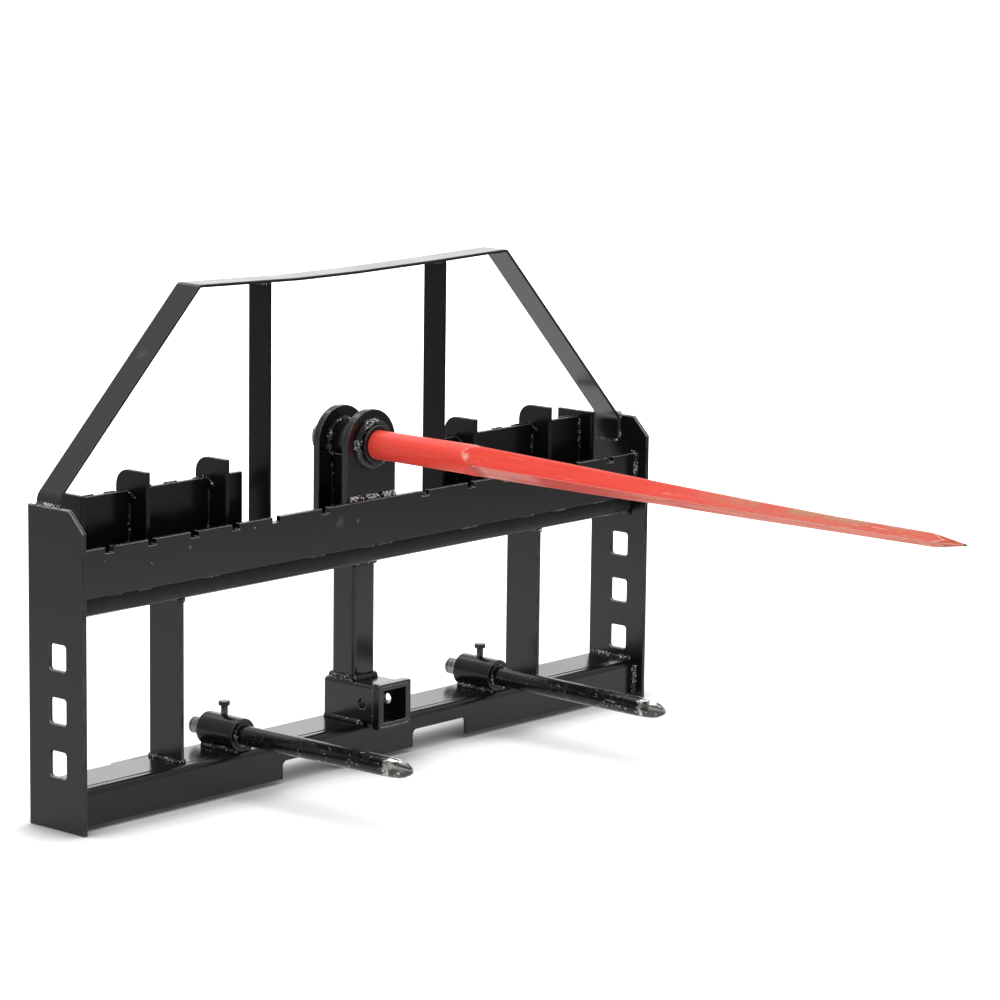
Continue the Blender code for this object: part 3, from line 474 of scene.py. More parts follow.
def dip_paint():
    """Orange red dip paint that wears off towards the spear's point."""
    material, shader, place = new_finish("red_dip_paint")
    reach = FRONT - place.part("Y")
    under = (0.12 - upward(place)).rise(0.0, 0.3)
    worn = reach.rise(*WORN_REACH)
    runs = place.stretched(RUNS).noise(1.0, 3.0, 0.55)
    cloud = place.stretched(CLOUDS).noise(1.0, 4.0, 0.6)
    haze = place.stretched(HAZES).noise(1.0, 4.0, 0.65)
    speck = place.stretched(SPECKS).noise(1.0, 3.0, 0.65)
    chalk_and_sheen_reach = reach.rise(*NEAR_CHALK_AND_SHEEN[:2]) * (1 - reach.rise(*NEAR_CHALK_AND_SHEEN[2:])) + reach.rise(*FAR_CHALK_AND_SHEEN)
    top = (place.part("Z") - TOP_HEIGHT).rise(2 * MM, 9 * MM)
    # The shoulder's arc and the point's V, which carry painted highlights, a painted glint and
    # the crease's painted shade
    middle = facet_middle(place, SHOULDER_HEIGHT)
    arc = reach - (SHOULDER_START + middle * middle * SHOULDER_CURVE)
    # painted highlight along the arc
    crescent_highlight = arc.band(0.6 * MM, 1.4 * MM) * speck.rise(0.3, 0.5) * (1 - under)
    glint = place.around(GLINT_PLACE, 2 * MM, 8 * MM) * arc.rise(0.0, 1 * MM)
    crease_shade = place.around(CREASE_SHADE_PLACE, 4 * MM, 7 * MM)
    cut = reach - (POINT_START - facet_middle(place, POINT_HEIGHT) * POINT_SLOPE)
    pointed = cut.rise(0.0, 1 * MM)
    # painted highlight along the V's ridge
    ridge = cut.band(0.8 * MM, 1.4 * MM) * speck.rise(0.25, 0.45)
    # Fresh paint, a neck painted lighter as painted light, and painted shade underneath, then
    # chalk, then primer
    colour = (runs.rise(0.45, 0.75) * 0.6).mix(SPEAR_RED, SPEAR_DEEP)
    # painted light: the neck is painted a lighter red
    colour = (1 - arc.rise(-4 * MM, 0.0)).mix(colour, SPEAR_NECK_LIGHT)
    # painted shade: faces that look down, and the crease below the neck, are painted a darker red
    colour = crease_shade.most(under * reach.rise(0.18, 0.2) * 0.7).mix(colour, SPEAR_UNDERSIDE_SHADE)
    chalk = (cloud.rise(0.42, 0.64) * (0.05 + 0.65 * worn)).most(worn * 0.5)
    chalk = chalk * (1 - speck.rise(0.5, 0.62) * 0.7)
    colour = chalk.mix(colour, SPEAR_WORN)
    # a pale haze on faces that look down: chalky wear, and painted reflection of the floor
    colour = (haze.rise(0.36, 0.54) * under * chalk_and_sheen_reach * 0.78).mix(colour, SPEAR_CHALK_AND_SHEEN)
    primer = speck.rise(0.36, 0.5) * cloud.rise(0.38, 0.5) * reach.rise(*PRIMER_REACH)
    primer = primer * (0.2 + 0.8 * top) * (1 - reach.rise(0.96, 1.02) * 0.7)
    colour = (primer * 0.85).mix(colour, SPEAR_PRIMER)
    ground = speck.rise(0.35, 0.6).mix(POINT_RED, POINT_ORANGE)
    # the point: orange specks, with painted shade on faces that look down
    colour = pointed.mix(colour, (under * 0.6).mix(ground, POINT_SHADE))
    # Scuffs and painted highlights on top, and steel at both ends
    line = place.stretched(LINES).noise(1.0, 2.0, 0.6).rise(0.66, 0.72)
    corner = edge_mask(place, CORNER_WIDTH, 0.012, 0.09)[0] * speck.rise(0.28, 0.5)
    knock = speck.rise(0.66, 0.7) * cloud.rise(0.5, 0.6)
    scuff_and_highlight = (line * (0.2 + 0.6 * worn)).most(corner * (0.4 + 0.35 * worn)).most(knock * 0.7)
    # painted highlights along the arc and the V, and a painted glint
    scuff_and_highlight = scuff_and_highlight.most(crescent_highlight * 0.55).most(glint * 0.8).most(ridge)
    colour = scuff_and_highlight.mix(colour, SPEAR_SCUFF_AND_HIGHLIGHT)
    thread = (place.part("Y") - (socket_high.y - 2 * MM)).rise(0.0, 1 * MM)
    tip = (reach - (FRONT - spear_low.y) + BARE_TIP + speck * (2 * MM)).rise(0.0, 1 * MM)
    steel = thread.most(tip)
    colour = steel.mix(colour, DARK_STEEL)
    rough = 0.3 + 0.14 * cloud + 0.22 * worn + 0.12 * scuff_and_highlight
    feed(shader, Base_Color=colour, Roughness=rough, Metallic=steel * 0.9,
         Normal=bumped(runs * 0.6 + speck * 0.4 + cloud, 0.4, 0.6 * MM))
    shader.inputs["Specular IOR Level"].default_value = 0.36
    return material


dress(dip_paint(), "main_spear")
print("main spear painted")

# %% [markdown]
# ## Stabiliser spears
# The short spears are painted round bar. Bales have scoured their points to bright
# steel, and the black behind is chipped in small flakes, more of them near the point.
# On that bright steel, blotches and a streak along the upper side are painted
# reflections. The turned stub behind each sleeve was never painted.

# %% Worn black rods
rod_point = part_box("left_stabiliser_spear")[0].y
sleeve_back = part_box("left_stabiliser_sleeve")[1].y
POINT_BRIGHT = 47 * MM          # length of the bright point
POINT_RAGGED = 26 * MM          # how far its border wanders
RING_WIDTH = 9 * MM             # of the brightest part, at the border
CHIPPED = 360 * MM              # chips are rarest this far behind the point
CHIPPED_FADE = 340 * MM
BRIGHT_STEEL = (0.76, 0.74, 0.71, 1.0)
DULL_STEEL = (0.085, 0.082, 0.08, 1.0)
CHIP_DOTS = (210.0, 130.0, 210.0)
GRAZES = (120.0, 22.0, 120.0)
# scales of the blotches of painted reflection on the bare point
REFLECTION_BLOTCHES = (75.0, 45.0, 75.0)


def worn_rod():
    """Black paint over steel, scoured at the point and chipped behind it, with painted
    reflections on the bare point.
    """
    material, shader, place = new_finish("worn_black_rod")
    along = place.part("Y")
    facing = upward(place, "Normal")
    flake = place.noise(95.0, 4.0, 0.65)
    fine = place.noise(420.0, 3.0, 0.6)
    # What is bare: the point, the stub and the chips
    behind = rod_point + POINT_BRIGHT - along + (flake - 0.5) * POINT_RAGGED
    scoured = behind.rise(-1 * MM, 1 * MM)
    ring = scoured - (behind - RING_WIDTH).rise(-3 * MM, 3 * MM)
    stub = (along - (sleeve_back - 1 * MM)).rise(0.0, 1 * MM)
    near = 0.25 + 0.75 * (rod_point + CHIPPED - along).rise(0.0, CHIPPED_FADE)
    dots = place.stretched(CHIP_DOTS).noise(1.0, 4.0, 0.75)
    speckle = dots.rise(0.6, 0.63) * place.noise(34.0, 2.0).rise(0.46, 0.56)
    graze = place.stretched(GRAZES).noise(1.0, 3.0, 0.6).rise(0.65, 0.68)
    chip = speckle.most(graze * place.noise(15.0).rise(0.5, 0.62)) * near
    bare = scoured.most(stub).most(chip)
    # How bright that steel is: blotches that favour faces looking up and a streak along the upper
    # side are painted reflections
    reflection_blotch = place.stretched(REFLECTION_BLOTCHES).noise(1.0, 3.0, 0.6) + facing * 0.12
    reflection_blotch = reflection_blotch.rise(0.57, 0.64) * (1 - (behind - 20 * MM).rise(0.0, 16 * MM) * 0.85)
    # painted reflection: a bright streak along the upper side
    painted_streak = facing.rise(0.12, 0.3) * (1 - facing.rise(0.45, 0.6)) * 0.85
    groove = place.stretched((0.0, 230.0, 0.0)).noise(1.0, 2.0).rise(0.44, 0.6)
    bright = (ring * fine.rise(0.4, 0.6)).most(chip).most(reflection_blotch.most(painted_streak) * scoured)
    steel = bright.most(groove * stub * 0.45).mix(DULL_STEEL, BRIGHT_STEEL)
    haze = (flake.rise(0.5, 0.8) * 0.22).mix(COAT_BLACK, COAT_WEAR_AND_SHEEN)
    # Gloss, and the turning marks of the stub
    turning = place.stretched((0.0, 1600.0, 0.0)).noise(1.0, 1.0) * stub
    rough = 0.13 + 0.12 * flake * (1 - bare) + 0.16 * ring + 0.1 * chip
    relief = (flake * 0.8 + fine * 0.12) * (1 - scoured * 0.8) + turning * 0.3 - bare * 0.4
    feed(shader, Base_Color=bare.mix(haze, steel), Roughness=rough, Metallic=bare,
         Normal=bumped(relief, 0.35, 0.5 * MM))
    shader.inputs["Specular IOR Level"].default_value = 0.3
    return material


dress(worn_rod(), "left_stabiliser_spear", "right_stabiliser_spear")
print("rods scoured over", POINT_BRIGHT, "m")

# %% [markdown]
# ## The nut
# The spear's nut is plain machined steel: metal all over, so its colour is what it
# mirrors, with fine marks in its skin and a few brown stains.

# %% Machined steel
NUT_STEEL = grey(0.24)
NUT_STAIN = (0.168, 0.12, 0.084, 1.0)


def machined_steel():
    """Dull machined steel with fine marks and brown stains."""
    material, shader, place = new_finish("nut_steel")
    marks = place.noise(520.0, 3.0, 0.6)
    stain = place.noise(60.0, 4.0, 0.6)
    feed(shader, Base_Color=stain.rise(0.45, 0.75).mix(NUT_STEEL, NUT_STAIN),
         Roughness=0.32 + 0.2 * stain, Normal=bumped(marks, 0.3, 0.1 * MM))
    shader.inputs["Metallic"].default_value = 1.0
    return material


nut_steel = machined_steel()
dress(nut_steel, "spear_nut")
print("finishes so far:", len(bpy.data.materials))

# %% [markdown]
# ## Working in edit mode from code
# An operator acts on all that is selected. So everything is deselected first, and the
# vertices or edges to change are then picked by a rule about their place.

# %% Selection helpers
MERGE = 0.01 * MM


def start_clean():
    """Deselect every object before a primitive is added."""
    bpy.ops.object.select_all(action="DESELECT")


def pick_points(rule):
    """In edit mode, select only the vertices whose place meets a rule."""
    bpy.ops.mesh.select_all(action="DESELECT")
    bpy.ops.object.mode_set(mode="OBJECT")
    for point in bpy.context.active_object.data.vertices:
        point.select = rule(point.co)
    bpy.ops.object.mode_set(mode="EDIT")


def pick_edges(rule):
    """In edit mode, select only the edges whose two ends meet a rule."""
    bpy.ops.mesh.select_mode(type="EDGE")
    bpy.ops.mesh.select_all(action="DESELECT")
    bpy.ops.object.mode_set(mode="OBJECT")
    data = bpy.context.active_object.data
    for edge in data.edges:
        first, second = [data.vertices[index].co for index in edge.vertices]
        edge.select = rule(first, second)
    bpy.ops.object.mode_set(mode="EDIT")


def settle(piece):
    """Put a piece's place into its mesh, so that its object sits at the origin."""
    start_clean()
    piece.select_set(True)
    bpy.context.view_layer.objects.active = piece
    bpy.ops.object.transform_apply(location=True, rotation=True, scale=True)
    return piece


def joined(parts, name):
    """Several objects as one piece, with its own mesh at the origin."""
    start_clean()
    for part in parts:
        part.select_set(True)
    bpy.context.view_layer.objects.active = parts[0]
    bpy.ops.object.join()
    piece = bpy.context.active_object
    piece.name = name
    piece.data.name = name
    return settle(piece)


def finish_piece(piece, material):
    """Recalculate normals, shade, paint and hang a finished piece on its body."""
    bpy.ops.object.mode_set(mode="EDIT")
    bpy.ops.mesh.select_all(action="SELECT")
    bpy.ops.mesh.remove_doubles(threshold=MERGE)
    bpy.ops.mesh.normals_make_consistent(inside=False)
    bpy.ops.object.mode_set(mode="OBJECT")
    bpy.ops.object.shade_smooth()
    piece.data.materials.clear()
    piece.data.materials.append(material)
    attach(piece, "root")
    print(piece.name, len(piece.data.polygons), "faces")


print("selection helpers ready")

# %% [markdown]
# ## Weld beads
# The frame is welded by hand and then painted, so each joint has a rippled bead. A
# bead starts as a cylinder along the joint. Its long edges are subdivided into rings,
# every second ring is scaled up for the ripples of the moving puddle, and both ends
# are drawn in. A Displace modifier with cloud noise makes it uneven.

# %% Straight and round beads
RIPPLE = 3.1 * MM               # length of one ripple
RIPPLE_GROWTH = 1.16
BEAD_SIDES = 10
END_TAPER = 0.45
SKIN_DEPTH = 2.8 * MM           # of the uneven skin, from its lows to its highs
SKIN_SCALE = 4.0 * MM


def straight_bead(start, end, radius):
    """One rippled bead from start to end."""
    start, end = Vector(start), Vector(end)
    length = (end - start).length
    rings = 2 * max(3, round(length / RIPPLE))
    start_clean()
    bpy.ops.mesh.primitive_cylinder_add(vertices=BEAD_SIDES, radius=radius, depth=length,
                                        end_fill_type="TRIFAN", location=(0, 0, 0))
    bead = bpy.context.active_object
    bpy.ops.object.mode_set(mode="EDIT")
    pick_edges(lambda a, b: abs(a.z - b.z) > length / 2)
    bpy.ops.mesh.subdivide(number_cuts=rings - 1)
    bpy.ops.mesh.select_mode(type="VERT")
    pick_points(lambda co: round((co.z / length + 0.5) * rings) % 2 == 1)
    bpy.ops.transform.resize(value=(RIPPLE_GROWTH, RIPPLE_GROWTH, 1),
                             center_override=(0, 0, 0))
    pick_points(lambda co: abs(co.z) > length * (0.5 - 0.5 / rings))
    bpy.ops.transform.resize(value=(END_TAPER, END_TAPER, 1), center_override=(0, 0, 0))
    bpy.ops.object.mode_set(mode="OBJECT")
    turn = Vector((0, 0, 1)).rotation_difference((end - start).normalized())
    bead.matrix_world = Matrix.Translation((start + end) / 2) @ turn.to_matrix().to_4x4()
    return settle(bead)


def round_bead(centre, ring_radius, radius):
    """One rippled bead round a bar that lies along Y."""
    around = 2 * round(math.pi * ring_radius / RIPPLE)
    start_clean()
    bpy.ops.mesh.primitive_torus_add(major_radius=ring_radius, minor_radius=radius,
                                     major_segments=around, minor_segments=BEAD_SIDES,
                                     location=(0, 0, 0))
    bpy.ops.object.mode_set(mode="EDIT")
    pick_points(lambda co: round(math.atan2(co.y, co.x) / math.tau * around) % 2 == 1)
    bpy.ops.transform.shrink_fatten(value=radius * (RIPPLE_GROWTH - 1))
    bpy.ops.object.mode_set(mode="OBJECT")
    bead = bpy.context.active_object
    bead.matrix_world = Matrix.Translation(centre) @ Matrix.Rotation(math.pi / 2, 4, "X")
    return settle(bead)


def roughen(piece):
    """Displace a bead's skin with cloud noise, and apply it."""
    texture = bpy.data.textures.new("bead_noise", "CLOUDS")
    texture.noise_scale = SKIN_SCALE
    texture.noise_depth = 2
    modifier = piece.modifiers.new("uneven", "DISPLACE")
    modifier.texture = texture
    modifier.texture_coords = "GLOBAL"
    modifier.strength = SKIN_DEPTH
    modifier.mid_level = 0.5
    bpy.ops.object.modifier_apply(modifier=modifier.name)


def weld(name, material, lines=(), rounds=()):
    """A set of beads as one piece: lines of (start, end, radius) and rounds."""
    beads = [straight_bead(*line) for line in lines] + [round_bead(*ring) for ring in rounds]
    piece = joined(beads, name)
    roughen(piece)
    finish_piece(piece, material)


print("one ripple is", RIPPLE, "m long")


# %% Rows and rectangles of beads
def stitches(start, end, radius, count, share, wander=0.2):
    """Short beads spread along a joint, as a welder stitches a long seam."""
    start, end = Vector(start), Vector(end)
    step = (end - start) / count
    made = []
    for number in range(count):
        shift = random.uniform(-wander, wander) * (1 - share)
        first = start + step * (number + (1 - share) / 2 + shift)
        made.append((first, first + step * share * random.uniform(0.8, 1.1), radius))
    return made


def frame_of_lines(low, high, height, radius):
    """Four beads round a rectangle at one height."""
    corners = [(low.x, low.y, height), (high.x, low.y, height),
               (high.x, high.y, height), (low.x, high.y, height)]
    return [(corners[turn], corners[(turn + 1) % 4], radius) for turn in range(4)]


def on_plane(x, lines):
    """Beads on a plane across the frame, each of radius and its ends' Y and Z."""
    return [((x, *start), (x, *end), radius) for radius, start, end in lines]


print("bead patterns ready")

# %% [markdown]
# ## The welds' finish
# The same powder coat covers the beads, but it is glossier where it pooled, and the
# rough skin throws back many small glints. Bright flecks add painted glints, more of
# them on faces that look up.

# %% Weld finish
def weld_coat(name, bright):
    """Glossy black over a rough bead, with a share of bright flecks on its ridges, painted on as
    glints.
    """
    material, shader, place = new_finish(name)
    lump = place.noise(330.0, 3.0, 0.6)
    patch = place.noise(60.0, 3.0).rise(0.6 - bright * 0.3, 0.66 - bright * 0.3)
    # bright flecks painted as glints, more of them on faces that look up
    painted_glint = place.noise(360.0, 3.0, 0.75).rise(0.61 - bright * 0.13, 0.63 - bright * 0.13)
    painted_glint = painted_glint * patch * (0.2 + 0.8 * upward(place, "Normal").rise(-0.5, 0.3))
    feed(shader, Base_Color=painted_glint.mix(COAT_BLACK, grey(0.9)), Roughness=0.09 + 0.16 * lump,
         Normal=bumped(lump + place.noise(900.0) * 0.2, 0.9, 1.3 * MM))
    return material


# three shares of painted glints
weld_black = weld_coat("black_coat_weld", 0.24)
weld_glinting = weld_coat("glint_flecked_weld", 0.42)
weld_bright = weld_coat("bright_flecked_weld", 0.68)
print("three weld finishes")

# %% [markdown]
# ## Welds of the spear's socket and ears
# The heaviest weld joins the socket to the front ear, a ring about seventy
# millimetres across that the eye goes to first. The ears stand on the top rail behind
# the fork bar, and the front one has a weld along its foot with many painted glints.
# Thinner beads run up the corners of the post between the ears.

# %% Socket and ear welds
front_low, front_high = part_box("front_spear_ear")
rear_low, rear_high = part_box("rear_spear_ear")
post_low, post_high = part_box("upper_post")
socket_centre = (socket_low + socket_high) / 2
socket_radius = (socket_high.x - socket_low.x) / 2
SOCKET_BEAD = 7.0 * MM          # radii of the beads
EAR_BEAD = 4.5 * MM
FOOT_BEAD = 6.0 * MM
CORNER_BEAD = 3.0 * MM


def ring_at(y, radius):
    """A bead round the socket at one place along it."""
    centre = (socket_centre.x, y, socket_centre.z)
    return (centre, socket_radius + 0.4 * radius, radius)


foot = bar_high.z + 1 * MM
front_lines = stitches((front_low.x + 4 * MM, front_low.y, foot),
                       (front_high.x, front_low.y, foot), FOOT_BEAD, 3, 0.95)
weld("weld_front_ear", weld_bright, front_lines)
weld("weld_socket", weld_glinting, (),
     [ring_at(front_low.y - 1 * MM, SOCKET_BEAD), ring_at(rear_low.y, EAR_BEAD)])
ear_lines = stitches((rear_low.x, rear_high.y, tube_high.z),
                     (rear_high.x, rear_high.y, tube_high.z), EAR_BEAD, 2, 0.8)
for x in (post_low.x, post_high.x):
    for y in (post_low.y, post_high.y):
        ear_lines.append(((x, y, post_low.z), (x, y, post_high.z - 12 * MM), CORNER_BEAD))
weld("weld_rear_ear", weld_black, ear_lines,
     [ring_at(front_high.y, EAR_BEAD), ring_at(rear_high.y, EAR_BEAD)])

# %% [markdown]
# ## Welds of the rails
# The fork bar is stitched to the tube along its lower edge and along its back, and
# each rail is welded to the side plates. The uprights have a bead on every side.

# %% Rail welds
RAIL_BEAD = 4.5 * MM            # radii of the beads
CAP_BEAD = 3.5 * MM
SHEET_BEAD = 5.2 * MM
SEAM_BEAD = 3.2 * MM
BACK_BEAD = 4.0 * MM
UPRIGHT_FOOT_BEAD = 4.0 * MM
UPRIGHT_TOP_BEAD = 3.6 * MM
PLATE_INSET = 1.2 * MM
CORNER_GAP = 8 * MM             # no bead at the sheet's bend
seam = bar_low.z - 0.8 * MM
seam_lines = stitches((bar_low.x + 20 * MM, bar_high.y, seam),
                      (bar_high.x - 20 * MM, bar_high.y, seam), SEAM_BEAD, 10, 0.3, 1.0)
weld("weld_bar_seam", weld_glinting, seam_lines)
rail_lines = stitches((bar_low.x, bar_high.y, tube_high.z),
                      (bar_high.x, bar_high.y, tube_high.z), BACK_BEAD, 12, 0.35)
plate_lines = [
    (RAIL_BEAD, (bar_low.y, bar_low.z), (bar_low.y, bar_high.z)),
    (CAP_BEAD, (bar_low.y, bar_high.z), (bar_high.y, bar_high.z)),
    (RAIL_BEAD, (tube_low.y, tube_low.z), (tube_high.y, tube_low.z)),
    (RAIL_BEAD, (tube_high.y, tube_low.z), (tube_high.y, tube_high.z)),
    (RAIL_BEAD, (bar_high.y, tube_high.z), (tube_high.y, tube_high.z)),
    (SHEET_BEAD, (rail_low.y, rail_low.z), (rail_low.y, rail_high.z - CORNER_GAP)),
    (SHEET_BEAD, (rail_low.y + CORNER_GAP, rail_high.z), (rail_high.y, rail_high.z))]
for x in (bar_low.x + PLATE_INSET, bar_high.x - PLATE_INSET):
    rail_lines += on_plane(x, plate_lines)
for side in ("left", "right"):
    low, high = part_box(side + "_upright")
    rail_lines += frame_of_lines(low, high, rail_high.z + 1 * MM, UPRIGHT_FOOT_BEAD)
    rail_lines += frame_of_lines(low, high, tube_low.z - 1 * MM, UPRIGHT_TOP_BEAD)
weld("weld_rails", weld_glinting, rail_lines)

# %% [markdown]
# ## Welds of the receiver and its post
# The post's foot carries the load of a towed trailer, so it has a fat bead, and the
# receiver is run down along both sides on the bottom rail. A thin bead follows the
# back of its collar on three sides.

# %% Receiver welds
receiver_low, receiver_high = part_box("receiver_tube")
centre_low, centre_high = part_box("centre_post")
POST_FOOT_BEAD = 6.5 * MM       # radii of the beads
POST_TOP_BEAD = 4.0 * MM
RECEIVER_BEAD = 5.5 * MM
NOSE_BEAD = 4.5 * MM
COLLAR_BEAD = 3.0 * MM
TUCK = 0.93                     # the side beads lie under the receiver's rounded corners
receiver_lines = frame_of_lines(centre_low, centre_high, receiver_high.z + 1 * MM, POST_FOOT_BEAD)
receiver_lines += frame_of_lines(centre_low, centre_high, tube_low.z - 1 * MM, POST_TOP_BEAD)
side_line = (RECEIVER_BEAD, (rail_low.y + 4 * MM, rail_high.z + 1.5 * MM),
             (receiver_high.y, rail_high.z + 1.5 * MM))
for x in (receiver_low.x, receiver_high.x):
    receiver_lines += on_plane(x * TUCK, [side_line])
nose = (rail_low.y + 1 * MM, rail_high.z - 2 * MM)
receiver_lines.append(((receiver_low.x * 0.7, *nose), (receiver_low.x * 0.1, *nose), NOSE_BEAD))
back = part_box("receiver_collar")[1].y + 0.6 * MM
for low, high in (((receiver_low.x, receiver_low.z), (receiver_low.x, receiver_high.z)),
                  ((receiver_high.x, receiver_low.z), (receiver_high.x, receiver_high.z)),
                  ((receiver_low.x, receiver_high.z), (receiver_high.x, receiver_high.z))):
    receiver_lines.append(((low[0], back, low[1]), (high[0], back, high[1]), COLLAR_BEAD))
weld("weld_receiver", weld_black, receiver_lines)

# %% [markdown]
# ## Welds of the hooks and gussets
# Each gusset straddles its hook plate. A short diagonal bead crosses the slot's top,
# and a vertical one runs down the corner. The lips are stitched along their seam, and
# the latch plates have a bead along each side.

# %% Hook and gusset welds
GUSSET_BEAD = 2.8 * MM          # radii of the beads
SLOT_BEAD = 2.6 * MM
GUSSET_FOOT_BEAD = 3.5 * MM
END_BEAD = 3.0 * MM
HOOK_BEAD = 3.2 * MM
LIP_BEAD = 2.4 * MM
LATCH_BEAD = 3.0 * MM


def gusset_beads(name, plate_low, plate_high):
    """Beads on both faces of a gusset, where it meets the hook plate and the tube."""
    low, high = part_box(name)
    lines = [
        (GUSSET_BEAD, (plate_low.y, tube_high.z + 6 * MM), (plate_low.y, plate_high.z - 18 * MM)),
        (SLOT_BEAD, (plate_high.y - 1 * MM, plate_high.z + 1 * MM),
         (plate_low.y - 13 * MM, plate_high.z - 12 * MM)),
        (GUSSET_FOOT_BEAD, (low.y + 2 * MM, tube_high.z), (plate_low.y, tube_high.z))]
    return on_plane(low.x, lines) + on_plane(high.x, lines)


hook_lines = []
for side in ("left", "right"):
    plate_low, plate_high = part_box(side + "_hook_plate")
    for kind in ("outer", "inner"):
        hook_lines += gusset_beads(f"{side}_{kind}_gusset", plate_low, plate_high)
    end_low, end_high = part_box(side + "_end_gusset")
    base = tube_high.z + 4 * MM
    hook_lines += on_plane(end_high.x if side == "left" else end_low.x, [
        (END_BEAD, (plate_low.y, base), (plate_low.y, plate_high.z - 4 * MM)),
        (END_BEAD, (plate_high.y, base), (plate_high.y, plate_high.z - 16 * MM))])
    for x in (end_low.x, end_high.x):
        hook_lines.append(((x, end_low.y, tube_high.z), (x, tube_high.y - 6 * MM, tube_high.z),
                           GUSSET_FOOT_BEAD))
    for y in (plate_low.y, plate_high.y):
        hook_lines += stitches((plate_low.x, y, tube_high.z), (plate_high.x, y, tube_high.z),
                               HOOK_BEAD, 6, 0.5)
    lip_low, lip_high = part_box(side + "_hook_lip")
    lip_seam = plate_high.z - 1 * MM
    hook_lines += stitches((lip_low.x, lip_low.y, lip_seam), (lip_high.x, lip_low.y, lip_seam),
                           LIP_BEAD, 6, 0.45)
    latch_low, latch_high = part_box(side + "_latch_plate")
    for x in (latch_low.x, latch_high.x):
        hook_lines.append(((x, latch_low.y + 8 * MM, latch_high.z),
                           (x, rail_high.y - 1 * MM, latch_high.z), LATCH_BEAD))
weld("weld_hooks", weld_black, hook_lines)

# %% [markdown]
# ## Welds of the guard and the sleeves
# The guard's feet are welded to the insides of the side plates and over their top
# edges. Each stabiliser sleeve sits in two long beads on the bottom rail, and a thin
# ragged bead rings the rod where it enters the sleeve.

# %% Guard and sleeve welds
guard_low, guard_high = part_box("guard_bar")
plate_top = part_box("left_side_plate")[1].z
GUARD_TAB = 44 * MM             # length of a guard foot below the plate's top
GUARD_SHEET = 4.8 * MM
ROD_RADIUS = 15.1 * MM
TAB_SIDE_BEAD = 2.8 * MM        # radii of the beads
TAB_END_BEAD = 2.4 * MM
TOP_EDGE_BEAD = 4.4 * MM
STRUT_BEAD = 3.0 * MM
SLEEVE_BEAD = 5.5 * MM
ROD_BEAD = 2.6 * MM
SLEEVE_SPREAD = 13 * MM         # a sleeve's two beads stand this far from its middle
guard_lines, foot_lines, rod_rings = [], [], []
tab_end = plate_top - GUARD_TAB
for sign, x in ((-1, guard_low.x), (1, guard_high.x)):
    for y in (guard_low.y, guard_high.y):
        guard_lines += on_plane(x - sign * 1 * MM, [
            (TAB_SIDE_BEAD, (y, tab_end + 2 * MM), (y, plate_top - 3 * MM))])
    guard_lines += on_plane(x - sign * GUARD_SHEET, [
        (TAB_END_BEAD, (guard_low.y, tab_end), (guard_high.y, tab_end))])
    foot_lines += on_plane(x, [
        (TOP_EDGE_BEAD, (guard_low.y - 2 * MM, plate_top), (guard_high.y - 2 * MM, plate_top))])
for side in ("left", "right"):
    low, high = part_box(side + "_guard_strut")
    guard_lines += frame_of_lines(low, high, low.z, STRUT_BEAD)
    for x in (low.x, high.x):
        guard_lines += on_plane(x, [
            (STRUT_BEAD, (low.y + 3 * MM, high.z - 1 * MM), (high.y - 3 * MM, high.z - 1 * MM))])
    sleeve_low, sleeve_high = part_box(side + "_stabiliser_sleeve")
    middle = (sleeve_low.x + sleeve_high.x) / 2
    height = (sleeve_low.z + sleeve_high.z) / 2
    base = sleeve_low.z + 2 * MM
    for x in (middle - SLEEVE_SPREAD, middle + SLEEVE_SPREAD):
        guard_lines += on_plane(x, [
            (SLEEVE_BEAD, (sleeve_low.y + 1 * MM, base), (sleeve_high.y - 2 * MM, base))])
    rod_rings.append(((middle, sleeve_low.y, height), ROD_RADIUS + 1.6 * MM, ROD_BEAD))
weld("weld_guard_and_sleeves", weld_glinting, guard_lines, rod_rings)
weld("weld_guard_feet", weld_bright, foot_lines)

# %% [markdown]
# ## Screw threads
# A thread is a small triangle swept along a helix. The triangle is a circle with
# three vertices, stood on edge with one corner towards the axis, so that the crest is
# flat as on a real thread. A Screw modifier sweeps it, and both ends are filled.

# %% Threads
THREAD_STEPS = 28
THREAD_SHARE = 0.52             # the triangle's radius over the pitch
THREAD_PITCH = 1.5 * MM
SPEAR_THREAD_RADIUS = 13.6 * MM
BOLT_THREAD_RADIUS = 4.95 * MM
SMOOTH_ANGLE = math.radians(30.0)


